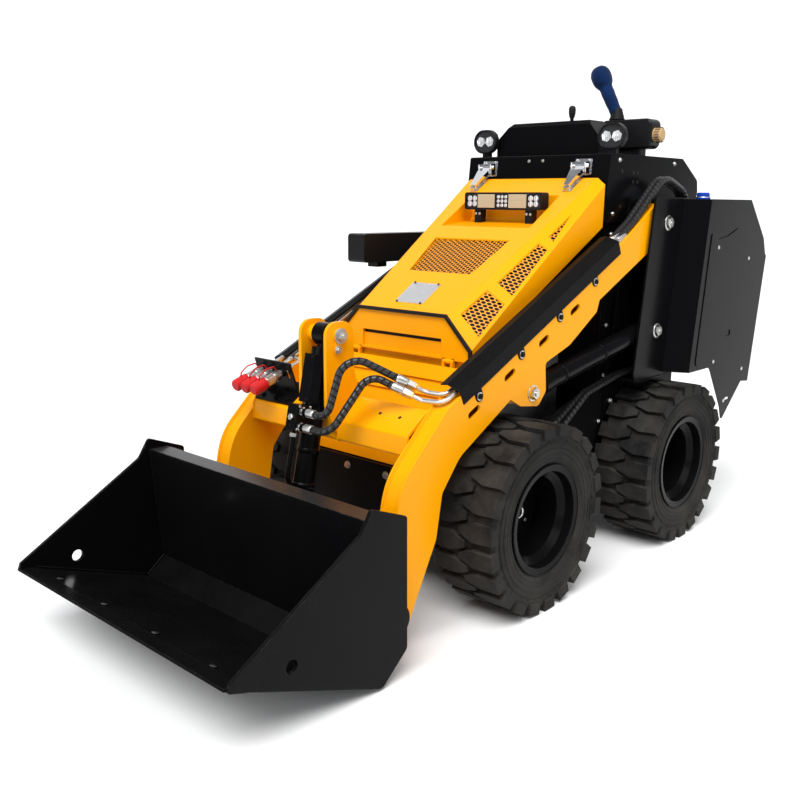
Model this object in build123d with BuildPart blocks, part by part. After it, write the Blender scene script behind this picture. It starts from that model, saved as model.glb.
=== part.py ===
from build123d import *
import os
from math import atan2, cos, degrees, hypot, radians, sin

# Stand-on wheeled mini skid steer loader, built from its real pieces.
# Millimetres. +X is forward, +Y is the machine's left, +Z is up.
# The origin is on the ground, half way along the machine's length and width.
# Side-view tables hold x, z and the corner radius.

os.makedirs("parts", exist_ok=True)

# ---------------------------------------------------------------- driving sizes
# Wheels
TYRE_D = 585.0
TYRE_W = 215.0
TREAD_DEPTH = 16.0
LUG_COUNT = 22
TRACK = 843.0
TYRE_TO_FRAME = 14.0
WHEELBASE = 886.0
FRONT_AXLE_X = 181.0
RIM_SEAT_R = 153.0
RIM_WELL_R = 131.0
RIM_WALL = 7.0
RIM_FLANGE_R = 171.0
RIM_FLANGE_T = 6.0
RIM_W = 182.0
RIM_DISC_T = 8.0
RIM_DISC_Y = -44.0
WHEEL_HUB_R = 50.0
WHEEL_HUB_L = 34.0
STUB_AXLE_R = 22.0
MOTOR_R = 62.0
WHEEL_NUT_PCD = 152.0
WHEEL_NUT_COUNT = 5
RUNNING_FIT = 0.05
SIDE_GAP = 5.0

# Chassis
CHASSIS_HALF_W = (TRACK - TYRE_W) / 2 - TYRE_TO_FRAME
FRAME_PLATE = 8.0
CHASSIS_FRONT_X = 430.0
CHASSIS_REAR_X = -1010.0
CHASSIS_FLOOR_Z = 150.0
CHASSIS_TOP_Z = 566.0
FRONT_PLATE_TOP_Z = 425.0

# Loader arms
TOWER_PLATE = 8.0
TOWER_INNER_Y = CHASSIS_HALF_W + TOWER_PLATE
ARM_INNER_Y = TOWER_INNER_Y + 27.0
ARM_W = 64.0
ARM_OUTER_Y = ARM_INNER_Y + ARM_W
ARM_PLATE = 8.0
ARM_WEB_INSET = 5.0
ARM_PIN_R = 22.5
ARM_BOSS_R = 48.0
ARM_PIVOT = (-665.0, 1159.0)
BUCKET_PIN = (726.0, 115.0)
BUCKET_PIN_R = 16.0
LIFT_ARM_PIN = (108.0, 654.0)
LIFT_TOWER_PIN = (-630.0, 779.0)
LIFT_PIN_R = 15.0
TILT_CLEVIS_PIN = (602.0, 845.0)
TILT_BUCKET_PIN = (723.5, 270.0)
TILT_PIN_R = 14.0

# Cylinders
LIFT_BARREL_R = 34.0
LIFT_ROD_R = 16.0
LIFT_EYE_R = 30.0
LIFT_EYE_W = 38.0
LIFT_ROD_SHOWING = 80.0
TILT_BARREL_R = 32.0
TILT_ROD_R = 16.0
TILT_EYE_R = 34.0
TILT_ROD_EYE_R = 28.0
TILT_EYE_W = 44.0
TILT_ROD_SHOWING = 70.0

# Rear towers
TOWER_OUTER_Y = ARM_OUTER_Y + TOWER_PLATE + 10.0
TYRE_CLEARANCE = 16.0
TOWER_TOP_Z = 1248.0
TOWER_REAR_X = -690.0
TOWER_LEAN = 0.1375
TOWER_BASE_Z = TYRE_D + TYRE_CLEARANCE

# Side tanks and their shields
TANK_W = 108.0
TANK_INNER_Y = TOWER_OUTER_Y - 20.0
TANK_OUTER_Y = TANK_INNER_Y + TANK_W
TANK_BOTTOM_Z = 620.0
TANK_TOP_Z = 1243.0
TANK_FRONT_STEP = 43.0
SHIELD_T = 3.0
TANK_SKIN_Y = TANK_OUTER_Y - SHIELD_T

# Hood and body
HOOD_FRONT_X = 276.0
HOOD_REAR_X = -409.0
HOOD_SHEET = 4.0
HOOD_FRONT_HALF_W = CHASSIS_HALF_W - 12.0
HOOD_REAR_HALF_W = CHASSIS_HALF_W + 7.0
HOOD_HINGE = (273.0, 748.0)
HOOD_PIN_R = 4.0
BODY_TOP_Z = 1161.0
CONSOLE_HALF_W = CHASSIS_HALF_W + 5.0
CONSOLE_TOP_Z = 1393.0
CONSOLE_SHEET = 4.0

# Bucket
LIP_X = 1350.0
BUCKET_W = 988.0
BUCKET_SIDE_T = 10.0
SIDE_HOLE_R = 17.5
HITCH_T = 12.0
EAR_T = 10.0
EAR_GAP = 6.0
HITCH_HALF_W = ARM_OUTER_Y + EAR_GAP + EAR_T + 5.0
CENTRE_EAR_T = 12.0

# Hoses and tubes
TILT_HOSE_R = 11.0
ARM_TUBE_R = 7.0
PIVOT_HOSE_R = 9.0

# ---------------------------------------------------------------- worked out
AXLE_Z = TYRE_D / 2
REAR_AXLE_X = FRONT_AXLE_X - WHEELBASE
WHEEL_Y = TRACK / 2
TREAD_R = TYRE_D / 2 - TREAD_DEPTH
ARM_MID_Y = ARM_INNER_Y + ARM_W / 2
SIDES = (("left", 1), ("right", -1))


def side_plane(y):
    """Plane of a side view at this y: its own x is forward and its own y is up."""
    return Plane.XZ.offset(-y)


def outline(rows):
    """Closed outline through rows of x, z and corner radius."""
    with BuildLine() as line:
        FilletPolyline(
            *[(x, z) for x, z, _ in rows], radius=[r for _, _, r in rows], close=True
        )
    return line.line


def route(points, radius):
    """Centre line of a hose or tube: straight runs joined by arcs of this radius."""
    with BuildLine() as line:
        FilletPolyline(*points, radius=radius)
    return line.line


def start_plane(line):
    """Plane square to the start of a centre line."""
    return Plane(origin=line @ 0, z_dir=line % 0)


def save(piece, name):
    """Labels one finished piece and writes it as its own STEP file."""
    piece.part.label = name
    export_step(piece.part, f"parts/{name}.step")


def span(start, end):
    """Distance between two points of the side view."""
    return hypot(end[0] - start[0], end[1] - start[1])


def toward(start, end, distance):
    """Point this far from start, on the way to end."""
    share = distance / span(start, end)
    return (start[0] + (end[0] - start[0]) * share, start[1] + (end[1] - start[1]) * share)


def pin_plane(start, end, y):
    """Plane square to the way from start to end, for cylinders along that way."""
    return Plane(
        origin=(start[0], y, start[1]),
        x_dir=(0, 1, 0),
        z_dir=(end[0] - start[0], 0, end[1] - start[1]),
    )


def tower_rear_x(height):
    """Rear edge of a tower at this height."""
    return TOWER_REAR_X - (height - TOWER_BASE_Z) * TOWER_LEAN


# ---------------------------------------------------------------- wheels
# Half section of the tyre: distance from the wheel's middle plane, radius.
TYRE_SECTION = (
    (-RIM_W / 2, RIM_SEAT_R),
    (-RIM_W / 2, RIM_FLANGE_R),
    (-TYRE_W / 2 + 7.5, RIM_FLANGE_R + 15),
    (-TYRE_W / 2 + 4.5, RIM_FLANGE_R + 44),
    (-TYRE_W / 2 + 8.5, TREAD_R - 33.5),
    (-TYRE_W / 2 + 5.5, TREAD_R - 26.5),
    (-TYRE_W / 2 + 5.5, TREAD_R - 14.5),
    (-TYRE_W / 2 + 11.5, TREAD_R),
)
# Half section of the rim: outer skin from the well to the flange, then the inner skin back.
RIM_SECTION = (
    (-50, RIM_WELL_R),
    (-62, RIM_SEAT_R),
    (-RIM_W / 2, RIM_SEAT_R),
    (-RIM_W / 2, RIM_FLANGE_R),
    (-RIM_W / 2 - RIM_FLANGE_T, RIM_FLANGE_R),
    (-RIM_W / 2 - RIM_FLANGE_T, RIM_FLANGE_R - 7),
    (-RIM_W / 2 - 4, RIM_SEAT_R - 3),
    (-66, RIM_SEAT_R - RIM_WALL),
    (-50, RIM_WELL_R - RIM_WALL),
)
# A lug's plan: way round the tyre, distance from the tyre's middle plane.
LUG_PLAN = ((-26, TYRE_W / 2), (26, TYRE_W / 2), (29, 40), (10, -12), (-10, -12), (-29, 40))
LUG_ROOT_R = TREAD_R - 19.5
# The tyre stands on the edges of its flat lugs, a little further out than their middles.
LUG_TOP_R = TYRE_D / 2 - 1.33
# Turns the two rows so that the tyre stands level on a lug of each.
LUG_QUARTER_STEP = 90 / LUG_COUNT


def lug_planes(axle_x, side, start_angle):
    """Planes that lie on the tyre, one for each lug of a row."""
    planes = []
    for number in range(LUG_COUNT):
        turn = radians(start_angle + 360 * number / LUG_COUNT)
        planes.append(
            Plane(
                origin=(
                    axle_x + LUG_ROOT_R * sin(turn),
                    side * WHEEL_Y,
                    AXLE_Z + LUG_ROOT_R * cos(turn),
                ),
                x_dir=(cos(turn), 0, -sin(turn)),
                z_dir=(sin(turn), 0, cos(turn)),
            )
        )
    return planes


for end_name, axle_x in (("front", FRONT_AXLE_X), ("rear", REAR_AXLE_X)):
    for side_name, side in SIDES:
        axle = Axis((axle_x, 0, AXLE_Z), (0, 1, 0))
        wheel_plane = Plane(
            origin=(axle_x, side * WHEEL_Y, AXLE_Z), x_dir=(0, side, 0), z_dir=(side, 0, 0)
        )

        with BuildPart() as tyre:
            with BuildSketch(wheel_plane):
                with BuildLine():
                    Polyline(
                        *TYRE_SECTION,
                        *[(-y, r) for y, r in reversed(TYRE_SECTION)],
                        close=True,
                    )
                make_face()
            revolve(axis=axle)
            # outer row of lugs, then the inner row half a step on
            for row, start_angle in ((side, LUG_QUARTER_STEP), (-side, -LUG_QUARTER_STEP)):
                with BuildSketch(*lug_planes(axle_x, side, start_angle)):
                    with BuildLine():
                        Polyline(*[(c, row * y) for c, y in LUG_PLAN], close=True)
                    make_face()
                extrude(amount=LUG_TOP_R - LUG_ROOT_R)
        save(tyre, f"tyre_{end_name}_{side_name}")

        with BuildPart() as rim:
            with BuildSketch(wheel_plane):
                with BuildLine():
                    Polyline(
                        *RIM_SECTION,
                        *[(-y, r) for y, r in reversed(RIM_SECTION)],
                        close=True,
                    )
                make_face()
                with Locations((RIM_DISC_Y, STUB_AXLE_R + RUNNING_FIT)):
                    Rectangle(
                        RIM_DISC_T,
                        RIM_WELL_R - 4 - STUB_AXLE_R,
                        align=(Align.CENTER, Align.MIN),
                    )
                with Locations((RIM_DISC_Y - RIM_DISC_T / 2, STUB_AXLE_R + RUNNING_FIT)):
                    Rectangle(
                        WHEEL_HUB_L,
                        WHEEL_HUB_R - STUB_AXLE_R - RUNNING_FIT,
                        align=(Align.MIN, Align.MIN),
                    )
            revolve(axis=axle)
            with BuildSketch(side_plane(side * (WHEEL_Y + RIM_DISC_Y + RIM_DISC_T / 2))):
                with Locations((axle_x, AXLE_Z)):
                    with PolarLocations(WHEEL_NUT_PCD / 2, WHEEL_NUT_COUNT):
                        RegularPolygon(10, 6)
            extrude(amount=-side * 10)
        save(rim, f"rim_{end_name}_{side_name}")

# Hydraulic wheel motors, one in each corner of the frame, with the stub axles.
MOTOR_END_Y = WHEEL_Y + RIM_DISC_Y - RIM_DISC_T / 2 - SIDE_GAP
STUB_END_Y = WHEEL_Y + RIM_DISC_Y - RIM_DISC_T / 2 + WHEEL_HUB_L + 12
with BuildPart() as wheel_motors:
    for axle_x in (FRONT_AXLE_X, REAR_AXLE_X):
        for _, side in SIDES:
            with BuildSketch(side_plane(side * CHASSIS_HALF_W)):
                with Locations((axle_x, AXLE_Z)):
                    Circle(MOTOR_R)
            extrude(amount=-side * (MOTOR_END_Y - CHASSIS_HALF_W))
            with BuildSketch(side_plane(side * MOTOR_END_Y)):
                with Locations((axle_x, AXLE_Z)):
                    Circle(STUB_AXLE_R)
            extrude(amount=-side * (STUB_END_Y - MOTOR_END_Y))
save(wheel_motors, "wheel_motors")

# ---------------------------------------------------------------- chassis
CHASSIS_SIDE = (
    (CHASSIS_FRONT_X - 60, CHASSIS_FLOOR_Z, 20),
    (CHASSIS_FRONT_X, CHASSIS_FLOOR_Z + 60, 20),
    (CHASSIS_FRONT_X, FRONT_PLATE_TOP_Z, 0),
    (CHASSIS_FRONT_X - 30, FRONT_PLATE_TOP_Z, 0),
    (CHASSIS_FRONT_X - 80, 520, 0),
    (-138, 520, 40),
    (-300, CHASSIS_TOP_Z, 40),
    (CHASSIS_REAR_X, CHASSIS_TOP_Z, 0),
    (CHASSIS_REAR_X, CHASSIS_FLOOR_Z, 10),
)
CHASSIS_INSIDE = (
    (CHASSIS_FRONT_X - FRAME_PLATE, CHASSIS_FLOOR_Z + 66, 0),
    (CHASSIS_FRONT_X - FRAME_PLATE - 58, CHASSIS_FLOOR_Z + FRAME_PLATE, 0),
    (CHASSIS_REAR_X + FRAME_PLATE, CHASSIS_FLOOR_Z + FRAME_PLATE, 0),
    (CHASSIS_REAR_X + FRAME_PLATE, CHASSIS_TOP_Z + 1, 0),
    (CHASSIS_FRONT_X - FRAME_PLATE, CHASSIS_TOP_Z + 1, 0),
)
with BuildPart() as chassis_frame:
    with BuildSketch(side_plane(0)):
        make_face(outline(CHASSIS_SIDE))
    extrude(amount=CHASSIS_HALF_W, both=True)
    with BuildSketch(side_plane(0)):
        make_face(outline(CHASSIS_INSIDE))
    extrude(amount=CHASSIS_HALF_W - FRAME_PLATE, both=True, mode=Mode.SUBTRACT)
save(chassis_frame, "chassis_frame")

# Engine: one plain block at its real place.
ENGINE_L = 480.0
ENGINE_W = 400.0
ENGINE_TOP_Z = 700.0
with BuildPart() as engine_block:
    with BuildSketch(Plane.XY.offset(CHASSIS_FLOOR_Z + FRAME_PLATE)):
        with Locations((-90, 0)):
            Rectangle(ENGINE_L, ENGINE_W)
    extrude(amount=ENGINE_TOP_Z - CHASSIS_FLOOR_Z - FRAME_PLATE)
save(engine_block, "engine_block")

# ---------------------------------------------------------------- rear towers
TOWER_OUTLINE = (
    (-569, TOWER_TOP_Z, 12),
    (tower_rear_x(TOWER_TOP_Z), TOWER_TOP_Z, 12),
    (TOWER_REAR_X, TOWER_BASE_Z, 0),
    (-497, TOWER_BASE_Z, 16),
    (-483, 633, 14),
)
TOWER_WEB = (
    (tower_rear_x(1212), 1212, 0),
    (TOWER_REAR_X, TOWER_BASE_Z, 0),
    (TOWER_REAR_X + TOWER_PLATE, TOWER_BASE_Z, 0),
    (tower_rear_x(1212) + TOWER_PLATE, 1212, 0),
)
TOWER_FOOT = (
    (-700, 440, 10),
    (-470, 440, 10),
    (-490, 740, 10),
    (-700, 740, 10),
)
PIN_HEAD_R = 20.0
PIN_HEAD_T = 5.0
PIN_BOLT_R = 11.0

for side_name, side in SIDES:
    with BuildPart() as tower:
        for plate_y in (TOWER_INNER_Y + TOWER_PLATE / 2, TOWER_OUTER_Y - TOWER_PLATE / 2):
            with BuildSketch(side_plane(side * plate_y)):
                make_face(outline(TOWER_OUTLINE))
            extrude(amount=TOWER_PLATE / 2, both=True)
        # floor over the tyre
        with BuildSketch(Plane.XY.offset(TOWER_BASE_Z)):
            with Locations((-597, side * (TOWER_INNER_Y + TOWER_OUTER_Y) / 2)):
                Rectangle(180, TOWER_OUTER_Y - TOWER_INNER_Y)
        extrude(amount=TOWER_PLATE)
        # closing web along the rear edge
        with BuildSketch(side_plane(side * (TOWER_INNER_Y + TOWER_OUTER_Y) / 2)):
            make_face(outline(TOWER_WEB))
        extrude(amount=(TOWER_OUTER_Y - TOWER_INNER_Y) / 2, both=True)
        # foot that laps the frame's side plate
        with BuildSketch(side_plane(side * (CHASSIS_HALF_W + TOWER_PLATE / 2))):
            make_face(outline(TOWER_FOOT))
        extrude(amount=TOWER_PLATE / 2, both=True)
        # pivot pins, each with a washer and a bolt head outside
        for (pin_x, pin_z), pin_r in ((ARM_PIVOT, ARM_PIN_R), (LIFT_TOWER_PIN, LIFT_PIN_R)):
            with BuildSketch(side_plane(side * TOWER_INNER_Y)):
                with Locations((pin_x, pin_z)):
                    Circle(pin_r)
            extrude(amount=-side * (TOWER_OUTER_Y - TOWER_INNER_Y))
            with BuildSketch(side_plane(side * TOWER_OUTER_Y)):
                with Locations((pin_x, pin_z)):
                    Circle(PIN_HEAD_R)
            extrude(amount=-side * PIN_HEAD_T)
            with BuildSketch(side_plane(side * (TOWER_OUTER_Y + PIN_HEAD_T))):
                with Locations((pin_x, pin_z)):
                    RegularPolygon(PIN_BOLT_R, 6)
            extrude(amount=-side * 9)
    save(tower, f"tower_{side_name}")

# ---------------------------------------------------------------- tanks, shields
WALL_OUTLINE = (
    (-1120, TANK_TOP_Z, 0),
    (-1169, TANK_TOP_Z, 8),
    (-1319, 1094, 8),
    (-1349, 1025, 8),
    (-1269, 522, 8),
    (-1210, 530, 8),
    (-1120, 470, 0),
)
SHIELD_OUTLINE = (
    (-840, 1126, 10),
    (-895, 1098, 20),
    (-980, 1111, 30),
    (-1065, 1138, 20),
    (-1150, 1108, 40),
    (-1226, 1053, 30),
    (-1282, 1030, 20),
    (-1350, 1027, 0),
    (-1270, 520, 6),
    (-1203, 528, 6),
    (-1043, 392, 10),
    (-1020, 450, 20),
    (-900, 620, 40),
    (-780, 640, 20),
)


def tank_plan(height, rear_x):
    """Plan outline of a tank at this height; its front stands on the tower's rear edge."""
    front_x = tower_rear_x(height)
    return (
        (front_x, TANK_INNER_Y),
        (front_x, TOWER_OUTER_Y),
        (front_x - TANK_FRONT_STEP, TANK_SKIN_Y),
        (rear_x, TANK_SKIN_Y),
        (rear_x, TANK_INNER_Y),
    )


for side_name, side in SIDES:
    with BuildPart() as tank:
        for height, rear_x in ((TANK_BOTTOM_Z, -1130), (TANK_TOP_Z, -1169)):
            with BuildSketch(Plane.XY.offset(height)):
                with BuildLine():
                    Polyline(*[(x, side * y) for x, y in tank_plan(height, rear_x)], close=True)
                make_face()
        loft(ruled=True)
        with BuildSketch(side_plane(side * (TANK_SKIN_Y - 3))):
            make_face(outline(WALL_OUTLINE))
        extrude(amount=3, both=True)
    save(tank, f"tank_{side_name}")

    with BuildPart() as side_shield:
        with BuildSketch(side_plane(side * (TANK_SKIN_Y + SHIELD_T / 2))):
            make_face(outline(SHIELD_OUTLINE))
            with Locations((-1039, 740)):
                RectangleRounded(44, 22, 3, mode=Mode.SUBTRACT)
            with Locations((-1079, 475)):
                SlotOverall(36, 10, mode=Mode.SUBTRACT)
        extrude(amount=SHIELD_T / 2, both=True)
    save(side_shield, f"side_shield_{side_name}")

CAP_PLACE = (-899, TANK_INNER_Y + 33)
CAP_FLANGE_T = 5.0
with BuildPart() as tank_cap:
    with BuildSketch(Plane.XY.offset(TANK_TOP_Z)):
        with Locations(CAP_PLACE):
            Circle(26)
    extrude(amount=CAP_FLANGE_T)
    with BuildSketch(Plane.XY.offset(TANK_TOP_Z + CAP_FLANGE_T)):
        with Locations(CAP_PLACE):
            Circle(22)
    extrude(amount=19)
    chamfer(tank_cap.edges().group_by(Axis.Z)[-1], 3)
save(tank_cap, "tank_cap")

# ---------------------------------------------------------------- body, console
BODY_L = 564.0
BODY_X = -720.0
BODY_HALF_W = CHASSIS_HALF_W - 2.0
BODY_SHEET = 4.0
with BuildPart() as body_shell:
    with BuildSketch(Plane.XY.offset(CHASSIS_TOP_Z)):
        with Locations((BODY_X, 0)):
            Rectangle(BODY_L, 2 * BODY_HALF_W)
            Rectangle(BODY_L - 2 * BODY_SHEET, 2 * (BODY_HALF_W - BODY_SHEET), mode=Mode.SUBTRACT)
    extrude(amount=BODY_TOP_Z - CHASSIS_TOP_Z)
save(body_shell, "body_shell")

CONSOLE_OUTLINE = (
    (-441, CONSOLE_TOP_Z, 10),
    (-969, CONSOLE_TOP_Z, 20),
    (-1103, 1315, 20),
    (-1111, 1268, 16),
    (-1060, BODY_TOP_Z, 8),
    (-416, BODY_TOP_Z, 0),
    (-416, 1180, 0),
)
with BuildPart() as console_box:
    with BuildSketch(side_plane(0)):
        make_face(outline(CONSOLE_OUTLINE))
    extrude(amount=CONSOLE_HALF_W, both=True)
    with BuildSketch(side_plane(0)):
        make_face(outline(CONSOLE_OUTLINE))
        offset(amount=-CONSOLE_SHEET, mode=Mode.REPLACE)
    extrude(amount=CONSOLE_HALF_W - CONSOLE_SHEET, both=True, mode=Mode.SUBTRACT)
save(console_box, "console_box")

# Raised panel across the console's front: y and z of its front view.
PANEL_TOP_Z = 1515.0
PANEL_VIEW = (
    (-238, CONSOLE_TOP_Z),
    (-238, 1455),
    (-172, PANEL_TOP_Z),
    (157, PANEL_TOP_Z),
    (207, 1455),
    (207, CONSOLE_TOP_Z),
)
LEVER_PLACE = (-579, 53)
LEVER_SHANK_L = 26.0
with BuildPart() as console_panel:
    with BuildSketch(Plane.YZ.offset(-519)):
        with BuildLine():
            Polyline(*PANEL_VIEW, close=True)
        make_face()
    extrude(amount=-120)
    chamfer(console_panel.edges().group_by(Axis.Z)[-1].filter_by(Axis.Y), 14)
    # throttle lever
    with BuildSketch(Plane.XY.offset(PANEL_TOP_Z)):
        with Locations(LEVER_PLACE):
            Circle(5)
    extrude(amount=LEVER_SHANK_L)
    with BuildSketch(Plane.XY.offset(PANEL_TOP_Z + LEVER_SHANK_L)):
        with Locations(LEVER_PLACE):
            Circle(12)
    extrude(amount=14)
save(console_panel, "console_panel")

POD_X = -769.0
POD_Y = CONSOLE_HALF_W - 120.0
POD_Z = 1475.0
POD_W = 210.0
with BuildPart() as control_pod:
    with BuildSketch(Plane.XY.offset(CONSOLE_TOP_Z)):
        with Locations((POD_X, POD_Y)):
            RectangleRounded(50, 120, 8)
    extrude(amount=30)
    with BuildSketch(Plane.YZ.offset(POD_X - 35)):
        with Locations((POD_Y, POD_Z)):
            RectangleRounded(POD_W, 106, 24)
    extrude(amount=70)
    chamfer(control_pod.faces().sort_by(Axis.X)[-1].edges(), 6)
save(control_pod, "control_pod")

STICK_BASE = (POD_X, POD_Y - 57)
STICK_BALL = (POD_X, POD_Y - 133, 1690)
with BuildPart() as joystick:
    with BuildSketch(Plane.XY.offset(POD_Z + 53)):
        with Locations(STICK_BASE):
            Circle(27)
    extrude(amount=46, taper=18)
    stick = route([(*STICK_BASE, 1560), (POD_X, STICK_BASE[1] - 6, 1650), STICK_BALL], 30)
    with BuildSketch(start_plane(stick)):
        Circle(11)
    sweep(path=stick)
    with Locations(STICK_BALL):
        Sphere(38)
save(joystick, "joystick")

with BuildPart() as pod_knob:
    with BuildSketch(side_plane(POD_Y + POD_W / 2)):
        with Locations((POD_X, POD_Z - 5)):
            Circle(26)
    extrude(amount=-30)
    chamfer(pod_knob.edges().group_by(Axis.Y)[-1], 7)
save(pod_knob, "pod_knob")

# Work lamps: oval housings on short brackets.
LAMP_Y = CONSOLE_HALF_W - 31.0
LAMP_SIZE = (108.0, 88.0)
LAMP_RECESS = (94.0, 74.0)
LAMP_Z = 1452.0
LAMP_FACE_X = -488.0
with BuildPart() as work_lamps:
    for _, side in SIDES:
        with BuildSketch(Plane.YZ.offset(LAMP_FACE_X)):
            with Locations((side * LAMP_Y, LAMP_Z)):
                SlotOverall(*LAMP_SIZE)
        extrude(amount=-18)
        with BuildSketch(Plane.YZ.offset(LAMP_FACE_X - 18)):
            with Locations((side * LAMP_Y, LAMP_Z)):
                SlotOverall(LAMP_SIZE[0] - 12, LAMP_SIZE[1] - 12)
        extrude(amount=-12, taper=25)
        with BuildSketch(Plane.YZ.offset(LAMP_FACE_X)):
            with Locations((side * LAMP_Y, LAMP_Z)):
                SlotOverall(*LAMP_RECESS)
        extrude(amount=-6, mode=Mode.SUBTRACT)
        with BuildSketch(Plane.XY.offset(CONSOLE_TOP_Z)):
            with Locations((LAMP_FACE_X - 17, side * LAMP_Y)):
                Rectangle(18, 32)
        extrude(amount=24)
save(work_lamps, "work_lamps")

with BuildPart() as work_lamp_lenses:
    for _, side in SIDES:
        with BuildSketch(Plane.YZ.offset(LAMP_FACE_X - 6)):
            with Locations((side * LAMP_Y, LAMP_Z)):
                SlotOverall(LAMP_RECESS[0] - 1, LAMP_RECESS[1] - 1)
        extrude(amount=4)
save(work_lamp_lenses, "work_lamp_lenses")

PLATFORM_BRACKET = (
    (CHASSIS_REAR_X, 250, 0),
    (-1290, 250, 0),
    (-1290, 235, 0),
    (CHASSIS_REAR_X, 170, 0),
)
with BuildPart() as operator_platform:
    with BuildSketch(Plane.XY.offset(250)):
        with Locations((-1160, 0)):
            RectangleRounded(300, 640, 30)
            with GridLocations(46, 60, 5, 9):
                Circle(9, mode=Mode.SUBTRACT)
    extrude(amount=6)
    for bracket_y in (-210, 210):
        with BuildSketch(side_plane(bracket_y)):
            make_face(outline(PLATFORM_BRACKET))
        extrude(amount=4, both=True)
save(operator_platform, "operator_platform")

# Ribbed panel between the hood's nose and the frame's front plate.
GRILLE_TOP_Z = 732.0
GRILLE_OUTLINE = (
    (287, GRILLE_TOP_Z, 0),
    (309, 691, 0),
    (302, 687, 0),
    (325, 643, 0),
    (318, 639, 0),
    (341, 595, 0),
    (334, 591, 0),
    (357, 547, 0),
    (350, 543, 0),
    (358, 521, 0),
    (CHASSIS_FRONT_X - 22, FRONT_PLATE_TOP_Z, 0),
    (CHASSIS_FRONT_X - 30, FRONT_PLATE_TOP_Z, 0),
    (CHASSIS_FRONT_X - 80, 520, 0),
    (280, GRILLE_TOP_Z, 0),
)
HINGE_EYE_Y = 200.0
HINGE_EYE_W = 24.0
HINGE_EYE_R = 9.0
with BuildPart() as grille_panel:
    with BuildSketch(side_plane(0)):
        make_face(outline(GRILLE_OUTLINE))
    extrude(amount=CHASSIS_HALF_W, both=True)
    # hinge pins of the hood, each between two cheeks
    for _, side in SIDES:
        for cheek in (-1, 1):
            with BuildSketch(side_plane(side * HINGE_EYE_Y + cheek * (HINGE_EYE_W / 2 + 5))):
                with Locations((HOOD_HINGE[0], HOOD_HINGE[1])):
                    Circle(7)
                with Locations((HOOD_HINGE[0] + 3, GRILLE_TOP_Z - 14)):
                    Rectangle(14, 32, align=(Align.CENTER, Align.MIN))
            extrude(amount=4, both=True)
        with BuildSketch(side_plane(side * HINGE_EYE_Y)):
            with Locations(HOOD_HINGE):
                Circle(HOOD_PIN_R)
        extrude(amount=HINGE_EYE_W / 2 + 6, both=True)
save(grille_panel, "grille_panel")

# ---------------------------------------------------------------- hood
# Half sections across the hood: distance from the middle, height.
HOOD_FRONT_ROWS = ((0, 752), (0, 788), (-99, 887))
HOOD_REAR_ROWS = ((-2, 1144), (0, 1287), (-30, 1310))
HOOD_FRONT = [(HOOD_FRONT_HALF_W + y, z) for y, z in HOOD_FRONT_ROWS]
HOOD_REAR = [(HOOD_REAR_HALF_W + y, z) for y, z in HOOD_REAR_ROWS]
HOOD_FRONT_INSIDE = [(HOOD_FRONT_HALF_W + y, z) for y, z in ((-4, 740), (-4, 786), (-101, 883))]
HOOD_REAR_INSIDE = [(HOOD_REAR_HALF_W + y, z) for y, z in ((-6, 1132), (-4, 1284), (-32, 1306))]
MESH_FRONT_INSIDE = [(HOOD_FRONT_HALF_W + y, z) for y, z in ((-6, 728), (-6, 785), (-102, 881))]
MESH_REAR_INSIDE = [(HOOD_REAR_HALF_W + y, z) for y, z in ((-8, 1120), (-6, 1283), (-33, 1304))]
TOP_SLOPE = (HOOD_REAR[2][1] - HOOD_FRONT[2][1]) / (HOOD_FRONT_X - HOOD_REAR_X)

# Vents in plan: x and y of the top one, x and distance in from the frame's side of the others.
TOP_VENT = ((-76, -160), (-76, 160), (93, 131), (93, -131))
SIDE_VENTS = (
    ((126, 73), (108, 16), (232, 19), (238, 87)),
    ((-100, 42), (-110, 13), (75, 14), (89, 64)),
    ((-252, 19), (-136, 32), (-139, 13)),
)
VENT_PLANE = Plane.XY.offset(HOOD_HINGE[1] + 20)
MESH_LAP = 8.0
MESH_HOLE_R = 10.0
MESH_PITCH = 30.0


def hood_top_z(x):
    """Height of the hood's top face at this x."""
    return HOOD_FRONT[2][1] + (HOOD_FRONT_X - x) * TOP_SLOPE


def hood_top_plane(x, y):
    """Plane that lies on the hood's top face, its own x pointing down the slope."""
    return Plane(
        origin=(x, y, hood_top_z(x)), x_dir=(1, 0, -TOP_SLOPE), z_dir=(TOP_SLOPE, 0, 1)
    )


def closed_section(half):
    """Closed outline across the hood from its half section."""
    with BuildLine() as line:
        Polyline(*half, *[(-y, z) for y, z in reversed(half)], close=True)
    return line.line


def vent_sketch():
    """All the vents in plan, the side ones on both sides."""
    with BuildSketch() as vents:
        with BuildLine():
            Polyline(*TOP_VENT, close=True)
        make_face()
        for vent in SIDE_VENTS:
            for _, side in SIDES:
                with BuildLine():
                    Polyline(*[(x, side * (CHASSIS_HALF_W - inset)) for x, inset in vent], close=True)
                make_face()
    return vents.sketch


# Pan in the hood's top that the light bar stands in.
PAN_HALF_W = 190.0
PAN_FRONT_X = -139.0
PAN_REAR_X = -313.0
PAN_FLOOR_REAR = (PAN_REAR_X + 10, 1160.0)
PAN_OUTER = (
    (PAN_FRONT_X + 6, hood_top_z(PAN_FRONT_X + 6), 0),
    (PAN_FLOOR_REAR[0] - 2, PAN_FLOOR_REAR[1] - 4, 0),
    (PAN_REAR_X - 4, 1170, 0),
    (PAN_REAR_X - 4, hood_top_z(PAN_REAR_X - 4), 0),
)
PAN_INNER = (
    (PAN_FRONT_X, hood_top_z(PAN_FRONT_X), 0),
    (*PAN_FLOOR_REAR, 0),
    (PAN_REAR_X, 1172, 0),
    (PAN_REAR_X, hood_top_z(PAN_REAR_X), 0),
    (PAN_REAR_X, hood_top_z(PAN_REAR_X) + 30, 0),
    (PAN_FRONT_X, hood_top_z(PAN_FRONT_X) + 30, 0),
)


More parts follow.
